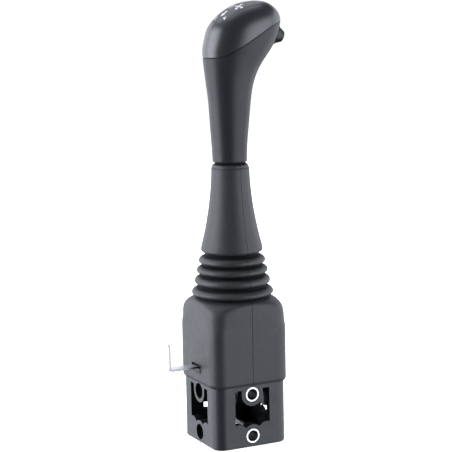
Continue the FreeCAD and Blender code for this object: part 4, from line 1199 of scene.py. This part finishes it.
    def build(self, palette: Palette) -> None:
        """Makes both pieces and the slot's lip, and opens the slot.

        Args:
            palette: Finishes.
        """
        angle = circle(self.columns)
        angle = angle + self.crowding * np.sin(2 * angle) + math.radians(self.parting_path[0][1])
        rings = [*(self.fold(index) for index in range(len(self.folds))), self.cone()]
        rings = [(np.repeat(radius[:, None], self.columns, axis=1), height) for radius, height in rings]
        low, high = rings[: self.split_fold], rings[self.split_fold:]
        radius, height = low[-1]
        split = height[-1]
        bend_foot = self.folds[0][0] - self.bend_lead
        pieces = (
            ("boot_skirt", [self.skirt(angle), *low], ("housing", "gimbal"), bend_foot, split),
            ("boot_cone", [(radius[-1:], height[-1:]), *high], ("gimbal", "stick"), split, self.folds[-1][0]),
        )
        for name, stretches, bodies, start, end in pieces:
            radius, height = (np.concatenate(rows) for rows in zip(*stretches))
            points, line, hollow = self.surface(angle, radius, height)
            piece = grid_mesh(name, points)
            set_attribute(piece, "parting", line)
            # Share of painted shade at each point, for the rubber's material
            set_attribute(piece, "hollow", hollow)
            thicken(piece, self.wall)
            if name == "boot_skirt":
                cut_with(piece, self.slot_cutter())
            else:
                bake_modifiers(piece, SOFT_EDGE)
            palette.dress(piece, Slot.RUBBER, node="rubber_boot")
            start * MM
            end * MM
            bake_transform(piece)
        palette.dress(self.slot_lip(), Slot.RUBBER, "housing")


class Groove(NamedTuple):
    """Half a groove at a surface's edge: its depth, its width, its painted shade and how far it fades."""

    depth: float
    half: float
    shade: float
    fade: float = 0.0


@dataclass
class Grip:
    """Grip in two shells that meet at a curved seam, with a panel let into the top."""

    # Height, back edge, front edge and half width of each cross section, then the crown's tip
    stations: tuple = (
        (212.5, -13.0, 12.5, 12.6), (227.0, -13.7, 13.1, 13.1), (242.0, -14.7, 14.7, 13.8),
        (257.5, -15.6, 16.4, 14.6), (272.0, -17.2, 19.2, 16.0), (284.0, -18.5, 24.7, 18.0),
        (291.0, -19.1, 29.8, 19.4), (298.0, -18.9, 35.0, 20.6), (304.5, -17.3, 38.5, 21.0),
        (311.0, -15.2, 40.8, 20.6), (317.0, -11.0, 42.0, 19.2), (322.5, -4.7, 40.4, 16.6),
        (326.5, 1.6, 37.0, 13.4), (329.3, 8.2, 33.0, 9.6), (331.0, 16.5, 27.0, 4.5),
        (331.4, 21.9, 21.9, 0.0),
    )
    fullness: float = 2.12
    columns: int = 320
    # Even rows of the lower shell, the cap and the panel, and the panel's gap at the crown's tip
    rows: tuple = (90, 40, 44)
    tip_gap: float = 0.05
    # Seam seen from the side: flat, a hollow arc, a slope and a crowned arc
    seam_level: float = 290.4
    seam_flat_end: float = -18.8
    seam_rear_radius: float = 24.3
    seam_slope: float = 30.2
    seam_bend_x: float = 17.8
    seam_front_radius: float = 79.0
    # Parameter from which the seam is looked for, and how far before the tip the search ends for
    # the seam, the panel's outline and the crown's height
    search_start: float = 30.0
    search_gaps: tuple = (1.0, 0.01, 0.02)
    seam_groove: Groove = Groove(0.6, 0.55, 0.0, 0.6)
    # Where a groove fades, along X
    fade_reach: tuple = (3.0, 20.0)
    # Rows that crowd beside a groove, in fortieths of the way to the other edge
    groove_rows: tuple = (0.0, 0.12, 0.25, 0.4, 0.55, 0.75, 1.0, 1.4)
    spigot_radius: float = 11.5
    spigot_foot: float = 204.0
    # Rows of the spigot and of the foot's flat, which get full painted shade
    spigot_rows: int = 4
    # How far below the foot's flat a row keeps its corner with the spigot crisp
    corner_gap: float = 0.4
    foot_round: float = 1.4
    # Last angle of the foot's rounded edge, and its rows
    foot_turn: float = 80.0
    foot_rows: int = 7
    wall: float = 2.4
    panel_wall: float = 1.0
    # Panel's outline in plan
    panel_half: float = 11.2
    panel_back: float = -10.8
    panel_corner: float = 6.8
    panel_shoulder: float = 14.0
    panel_nose: float = 33.6
    # Groove round the panel, which gets painted shade
    panel_groove: Groove = Groove(0.42, 0.42, 0.8)

    def __post_init__(self) -> None:
        """Fits splines to the height, centre, half length and half width of the stations.

        Past the crown's tip the stations are mirrored, so that the crown is round there.
        """
        level, back, front, half = np.array(self.stations).T
        values = np.stack([level, (back + front) / 2, (front - back) / 2, half])
        beyond = values[:, -2:-5:-1] * np.array([[1], [-1], [-1], [-1]])
        beyond[1] += 2 * values[1, -1]
        values = np.concatenate([values, beyond], axis=1)
        steps = np.sqrt((np.diff(values) ** 2 * np.array([[1], [0.25], [1], [1]])).sum(axis=0))
        knots = np.concatenate([[0.0], np.cumsum(steps)])
        self.tip = knots[len(self.stations) - 1]
        self.section = spline(knots, values)

    def point(self, along: Union[Array, float], angle: Array) -> Array:
        """Works out points of the outer surface, whose sections are superellipses.

        Args:
            along: Parameter along the grip.
            angle: Angle round each section.

        Returns:
            The points.
        """
        level, centre, length, half = self.section(along)
        round_x, round_y = (
            np.sign(value) * np.abs(value) ** (2 / self.fullness) for value in (np.cos(angle), np.sin(angle))
        )
        return np.stack(np.broadcast_arrays(centre + length * round_x, half * round_y, level), axis=-1)

    def over_seam(self, place: Array) -> Array:
        """Works out how far points lie over the seam.

        Seen from the side, the seam is flat, a hollow arc, a slope and a crowned arc, which join at
        tangents.

        Args:
            place: Points.

        Returns:
            The heights, negative below it.
        """
        x, slope = place[..., 0], math.radians(self.seam_slope)
        rear, front = self.seam_rear_radius, self.seam_front_radius
        rise_x = self.seam_flat_end + rear * math.sin(slope)
        rise_z = self.seam_level + rear * (1 - math.cos(slope))
        bend_z = rise_z + (self.seam_bend_x - rise_x) * math.tan(slope)
        crest_x = self.seam_bend_x + front * math.sin(slope)
        from_flat = np.clip(x - self.seam_flat_end, 0.0, rise_x - self.seam_flat_end)
        hollow = self.seam_level + rear - np.sqrt(rear**2 - from_flat**2)
        straight = rise_z + (x - rise_x) * math.tan(slope)
        to_crest = np.clip(crest_x - x, 0.0, crest_x - self.seam_bend_x)
        crowned = bend_z - front * math.cos(slope) + np.sqrt(front**2 - to_crest**2)
        return place[..., 2] - np.where(x < rise_x, hollow, np.where(x < self.seam_bend_x, straight, crowned))

    def within_panel(self, place: Array) -> Array:
        """Works out how far points lie inside the panel's outline in plan.

        Behind the shoulder the outline is a rectangle with round rear corners. Before it, the
        outline is an ellipse that ends in the nose.

        Args:
            place: Points.

        Returns:
            The distances, negative outside.
        """
        x, across = place[..., 0], np.abs(place[..., 1])
        corner = self.panel_corner
        over_x = np.maximum(self.panel_back + corner - x, 0.0)
        over_y = np.maximum(across - (self.panel_half - corner), 0.0)
        rear = corner - np.hypot(over_x, over_y)
        length = self.panel_nose - self.panel_shoulder
        share = np.hypot(np.maximum(x - self.panel_shoulder, 0.0) / length, across / self.panel_half)
        return np.where(x < self.panel_shoulder, rear, (1 - share) * self.panel_half)

    def seam_along(self, angle: Array) -> Array:
        """Parameter at which each column meets the seam."""
        end = self.tip - self.search_gaps[0]
        return find_root(lambda along: self.over_seam(self.point(along, angle)), self.search_start, end)

    def panel_along(self, angle: Array) -> Array:
        """Parameter at which each column meets the panel's outline."""
        start, end = self.seam_along(angle), self.tip - self.search_gaps[1]
        return find_root(lambda along: self.within_panel(self.point(along, angle)), start, end)

    def top_height(self, x: Array, y: Array) -> Array:
        """Works out the crown's height over plan points, by halving the parameter until its section fits.

        Args:
            x: Places along X.
            y: Places along Y.

        Returns:
            The heights.
        """
        def outside(along: Array) -> Array:
            """How far the point lies outside the section at a parameter."""
            _, centre, length, half = self.section(along)
            return (np.abs(x - centre) / length) ** self.fullness + (np.abs(y) / half) ** self.fullness - 1

        start = float(self.seam_along(np.array([TURN / 4]))[0])
        return self.section(find_root(outside, start, self.tip - self.search_gaps[2]))[0]

    def shell(
        self, angle: Array, start: Union[Array, float], end: Union[Array, float], count: int,
        at_start: Optional[Groove] = None, at_end: Optional[Groove] = None,
    ) -> tuple[Array, Array]:
        """Stretch of the outer surface, pressed in along its normals beside a groove at an edge.

        Args:
            angle: Angle of each column.
            start: Parameter of the first row.
            end: Parameter of the last row.
            count: Number of even rows, to which rows beside the grooves are added.
            at_start: Groove at the first row.
            at_end: Groove at the last row.

        Returns:
            The points, and how much painted shade each gets.
        """
        crowd = np.array(self.groove_rows) / 40
        even = np.linspace(0.0, 1.0, count)[1:-1]
        share = np.concatenate([crowd if at_start else [0.0], even, 1 - crowd if at_end else [1.0]])
        points = self.point(start + (end - start) * np.unique(share)[:, None], angle)
        steps = np.linalg.norm(np.diff(points, axis=0), axis=2)
        walked = np.vstack([np.zeros((1, len(angle))), np.cumsum(steps, axis=0)])
        press, painted_shade = np.zeros((2, *walked.shape))
        for groove, away in ((at_start, walked), (at_end, walked[-1] - walked)):
            if groove:
                near = 1 - smoothstep(away, 0.0, groove.half)
                fade = groove.fade * smoothstep(points[..., 0], *self.fade_reach)
                press += groove.depth * near * (1 - fade)
                # Painted shade beside the groove
                painted_shade += groove.shade * near
        return points - grid_normals(points) * press[..., None], painted_shade

    def foot(self, angle: Array) -> Array:
        """Makes the spigot, the flat foot and its rounded edge, up to the first cross section.

        Args:
            angle: Angle of each column.

        Returns:
            The points of these rows.
        """
        level, back, front, _ = self.stations[0]
        spigot = np.stack([np.cos(angle), np.sin(angle)], axis=-1) * self.spigot_radius
        edge = self.point(0.0, angle)[:, :2]
        outward = edge - [(back + front) / 2, 0.0]
        outward /= np.linalg.norm(outward, axis=1, keepdims=True)
        rows = [(spigot, self.spigot_foot), (spigot, level - self.corner_gap), (spigot, level)]
        for turn in np.radians(np.linspace(0.0, self.foot_turn, self.foot_rows)):
            inset, rise = self.foot_round * (1 - math.sin(turn)), self.foot_round * (1 - math.cos(turn))
            rows.append((edge - outward * inset, level + rise))
        return np.stack([np.column_stack([plan, np.full(len(angle), height)]) for plan, height in rows])

    def build(self, palette: Palette) -> None:
        """Makes the lower shell, the cap and the panel in place of the plain ones.

        Args:
            palette: Finishes.
        """
        angle = circle(self.columns)
        seam, outline = self.seam_along(angle), self.panel_along(angle)
        foot = self.foot(angle)
        lower, painted_shade = self.shell(angle, self.foot_round, seam, self.rows[0], at_end=self.seam_groove)
        # Painted shade on the spigot and the foot's flat, where they sit in the gap above the boot
        foot_shade = np.zeros(foot.shape[:2])
        foot_shade[: self.spigot_rows] = 1.0
        lower = np.concatenate([foot, lower]), np.concatenate([foot_shade, painted_shade])
        cap = self.shell(angle, seam, outline, self.rows[1], self.seam_groove, self.panel_groove)
        panel = self.shell(angle, outline, self.tip - self.tip_gap, self.rows[2], self.panel_groove)
        pieces = (
            ("grip_handle", lower, self.wall, Slot.GRIP, "grip_body", None),
            ("grip_top", cap, self.wall, Slot.GRIP, "grip_cap", CAP_GLOSS),
            ("top_panel", panel, self.panel_wall, Slot.INLAY, "cap_inlay", None),
        )
        for name, (points, hollow), wall, slot, node, finish in pieces:
            piece = grid_mesh(name, points, pole=name == "top_panel")
            # Share of painted shade at each point, for the material
            set_attribute(piece, "hollow", hollow)
            thicken(piece, wall)
            if name == "grip_handle":
                cut_with(piece, Button().hole_cutter())
            else:
                bake_modifiers(piece)
            palette.dress(piece, slot, "stick", node, finish)


class Sign(Enum):
    """Outlines of the plain marks on the panel, in shares of their size, pointing along +X."""

    ARROW = (
        (-0.5, -0.12), (0.05, -0.12), (0.05, -0.36), (0.5, 0.0), (0.05, 0.36), (0.05, 0.12), (-0.5, 0.12),
    )
    HEAD = ((-0.3, -0.42), (0.45, 0.0), (-0.3, 0.42))
    BAR = ((-0.14, -0.45), (0.14, -0.45), (0.14, 0.45), (-0.14, 0.45))
    FOUR_WAY = (
        (0.5, 0.0), (0.3, 0.17), (0.3, 0.07), (0.07, 0.07), (0.07, 0.3), (0.17, 0.3), (0.0, 0.5),
        (-0.17, 0.3), (-0.07, 0.3), (-0.07, 0.07), (-0.3, 0.07), (-0.3, 0.17), (-0.5, 0.0),
        (-0.3, -0.17), (-0.3, -0.07), (-0.07, -0.07), (-0.07, -0.3), (-0.17, -0.3), (0.0, -0.5),
        (0.17, -0.3), (0.07, -0.3), (0.07, -0.07), (0.3, -0.07), (0.3, -0.17),
    )


@dataclass
class Marks:
    """Plain white signs printed on the grip's panel."""

    # Sign, place in plan, heading in degrees and size
    places: tuple = (
        (Sign.FOUR_WAY, 6.2, -6.8, 20.0, 8.2),
        (Sign.ARROW, 3.4, -0.6, 0.0, 4.6),
        (Sign.ARROW, -4.2, -3.0, 180.0, 5.6),
        (Sign.HEAD, -6.4, -8.2, 240.0, 3.2),
        (Sign.BAR, -8.6, 1.5, 60.0, 3.0),
    )
    lift: float = 0.06
    thickness: float = 0.12
    step: float = 0.6

    def drape(self, name: str, plan: Array, grip: Grip) -> bpy.types.Object:
        """Sheet with an outline in plan that follows the panel's crown.

        The flat outline is cut along a square grid of lines, and each point of it is then lifted
        to the crown's height.

        Args:
            name: Name of the piece.
            plan: Places of the outline's corners, turning anticlockwise.
            grip: The grip that the sheet lies on.

        Returns:
            The object.
        """
        flat = bmesh.new()
        flat.faces.new([flat.verts.new((x, y, 0.0)) for x, y in plan])
        for number, normal in enumerate(((1.0, 0.0, 0.0), (0.0, 1.0, 0.0))):
            for place in np.arange(plan[:, number].min(), plan[:, number].max(), self.step)[1:]:
                everything = flat.verts[:] + flat.edges[:] + flat.faces[:]
                line = Vector(normal) * float(place)
                bmesh.ops.bisect_plane(flat, geom=everything, plane_co=line, plane_no=normal)
        mesh = bpy.data.meshes.new(name)
        flat.to_mesh(mesh)
        flat.free()
        points = np.empty(len(mesh.vertices) * 3)
        mesh.vertices.foreach_get("co", points)
        points = points.reshape(-1, 3)
        points[:, 2] = grip.top_height(points[:, 0], points[:, 1]) + self.lift
        mesh.vertices.foreach_set("co", (points * MM).reshape(-1))
        return new_object(name, mesh)

    def build(self, grip: Grip, palette: Palette) -> None:
        """Lays each sign on the panel.

        Args:
            grip: The grip that the panel belongs to.
            palette: Finishes.
        """
        for number, (sign, x, y, heading, size) in enumerate(self.places):
            cosine, sine = math.cos(math.radians(heading)), math.sin(math.radians(heading))
            plan = np.array(sign.value) * size @ np.array([[cosine, sine], [-sine, cosine]]) + [x, y]
            mark = self.drape(f"mark_{number}", plan, grip)
            thicken(mark, self.thickness)
            bake_modifiers(mark)
            palette.dress(mark, Slot.INLAY, "stick", finish=MARK_PAINT)


@dataclass
class Button:
    """Push button on the grip's front, with its collar and its return spring."""

    centre: tuple = (38.9, 0.0, 306.0)
    droop: float = 17.0
    radius: float = 5.7
    cap_radius: float = 4.6
    step: float = 4.2
    proud: float = 6.6
    bore: float = 6.0
    collar_radius: float = 7.4
    depth: float = 8.0
    # Half length of the bar that opens the hole, and its gap inside the collar
    hole_half: float = 9.0
    hole_gap: float = 0.2
    hole_columns: int = 72
    spring_foot: float = -10.4
    spring_top: float = -1.3
    spring_radius: float = 3.8
    spring_wire: float = 0.4
    spring_turns: float = 6.0
    rows_a_turn: int = 40
    # Points round the wire, and rows over which each of its ends is rounded
    wire_columns: int = 12
    rounded_rows: int = 4
    # How much less the end turns climb than the middle ones
    end_flatness: float = 0.14
    travel: float = 2.5

    def direction(self) -> tuple[float, float, float]:
        """Unit vector out of the grip along the button's axis."""
        droop = math.radians(self.droop)
        return (math.cos(droop), 0.0, -math.sin(droop))

    def hole_cutter(self) -> bpy.types.Object:
        """Makes the round bar that opens the button's hole in the grip.

        Returns:
            The bar.
        """
        rim, half = self.collar_radius - self.hole_gap, self.hole_half
        profile = [(0.0, -half), (rim, -half), (rim, half), (0.0, half)]
        return lathe("hole_cutter", profile, self.centre, self.direction(), self.hole_columns)

    def spring(self, palette: Palette) -> None:
        """Makes the coil spring.

        The wire's centre climbs by share - flatness * sin(2 pi share), so both end turns lie nearly
        flat. Its radius falls to nothing over the last rows, which rounds and closes the two ends.

        Args:
            palette: Finishes.
        """
        axis, across, side = axes_along(self.direction())
        share = np.linspace(0.0, 1.0, int(self.spring_turns * self.rows_a_turn) + 1)
        climb = share - self.end_flatness * np.sin(TURN * share)
        low, high = self.spring_foot + self.spring_wire, self.spring_top - self.spring_wire
        turn = share[:, None] * self.spring_turns * TURN
        radial = np.cos(turn) * across + np.sin(turn) * side
        middle = self.centre + radial * self.spring_radius + (low + (high - low) * climb)[:, None] * axis
        rounds = np.clip(np.minimum(share, 1 - share) * len(share) / self.rounded_rows, 0.0, 1.0)
        wire = self.spring_wire * np.sqrt(1 - (1 - rounds) ** 2)
        around = circle(self.wire_columns)[:, None]
        spread = np.cos(around) * radial[:, None] + np.sin(around) * axis
        coil = grid_mesh("return_spring", middle[:, None] + wire[:, None, None] * spread)
        add_modifier(coil, "WELD", merge_threshold=WELD_DISTANCE)
        bake_modifiers(coil, SOFT_EDGE)
        palette.dress(coil, Slot.STEEL, "stick", "button_spring")
        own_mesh(coil)

    def build(self, palette: Palette) -> None:
        """Makes the collar, the stepped button and the spring.

        Args:
            palette: Finishes.
        """
        collar = [
            (self.bore, -self.depth), (self.collar_radius, -self.depth), (self.collar_radius, 0.2),
            *rounded_corner((self.collar_radius - 0.5, 0.9), 0.5, 0, 90, 5),
            *rounded_corner((self.bore + 0.3, 1.1), 0.3, 90, 180, 4),
        ]
        rim, cap, step, top = self.radius, self.cap_radius, self.step, self.proud
        # Plunger and collar behind the bezel, the step, the cap's edge and its dished top
        button = [
            (0.0, -15.2), (2.0, -15.2), (2.0, -1.2), (4.5, -1.2), (4.5, -4.0), (rim, -4.0),
            *rounded_corner((rim - 0.5, step - 0.5), 0.5, 0, 90, 6),
            (cap + 0.5, step), (cap + 0.3, step - 0.5), (cap, step - 0.5), (cap, top - 0.9),
            *rounded_corner((cap - 0.9, top - 0.9), 0.9, 10, 80, 7),
            (cap - 1.3, top - 0.02), (cap - 1.5, top - 0.3), (1.0, top - 0.4), (0.0, top - 0.4),
        ]
        pieces = (
            ("button_collar", collar, Slot.TRIM, "stick", "button_bezel"),
            ("button_cap", button, Slot.BUTTON, "button", "push_button"),
        )
        for name, profile, slot, body, node in pieces:
            palette.dress(lathe(name, profile, self.centre, self.direction()), slot, body, node)
        self.spring(palette)


def main() -> None:
    """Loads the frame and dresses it."""
    logging.basicConfig(level=logging.INFO, format="%(message)s")
    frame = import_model()
    Studio().build()
    palette = Palette()
    finishes = {slot.value.name: slot.value for slot in Slot}
    slots = {part["node"]: part["material_slot"] for part in frame["record"]["subparts"]}
    sleeves = ("lower_mounting_sleeve", "upper_mounting_sleeve")
    for name, node in frame["nodes"].items():
        palette.paint(node, SLEEVE_ZINC if name in sleeves else finishes[slots[name]])
    Boot().build(palette)
    grip = Grip()
    grip.build(palette)
    Marks().build(grip, palette)
    Button().build(palette)


if __name__ == "__main__":
    main()
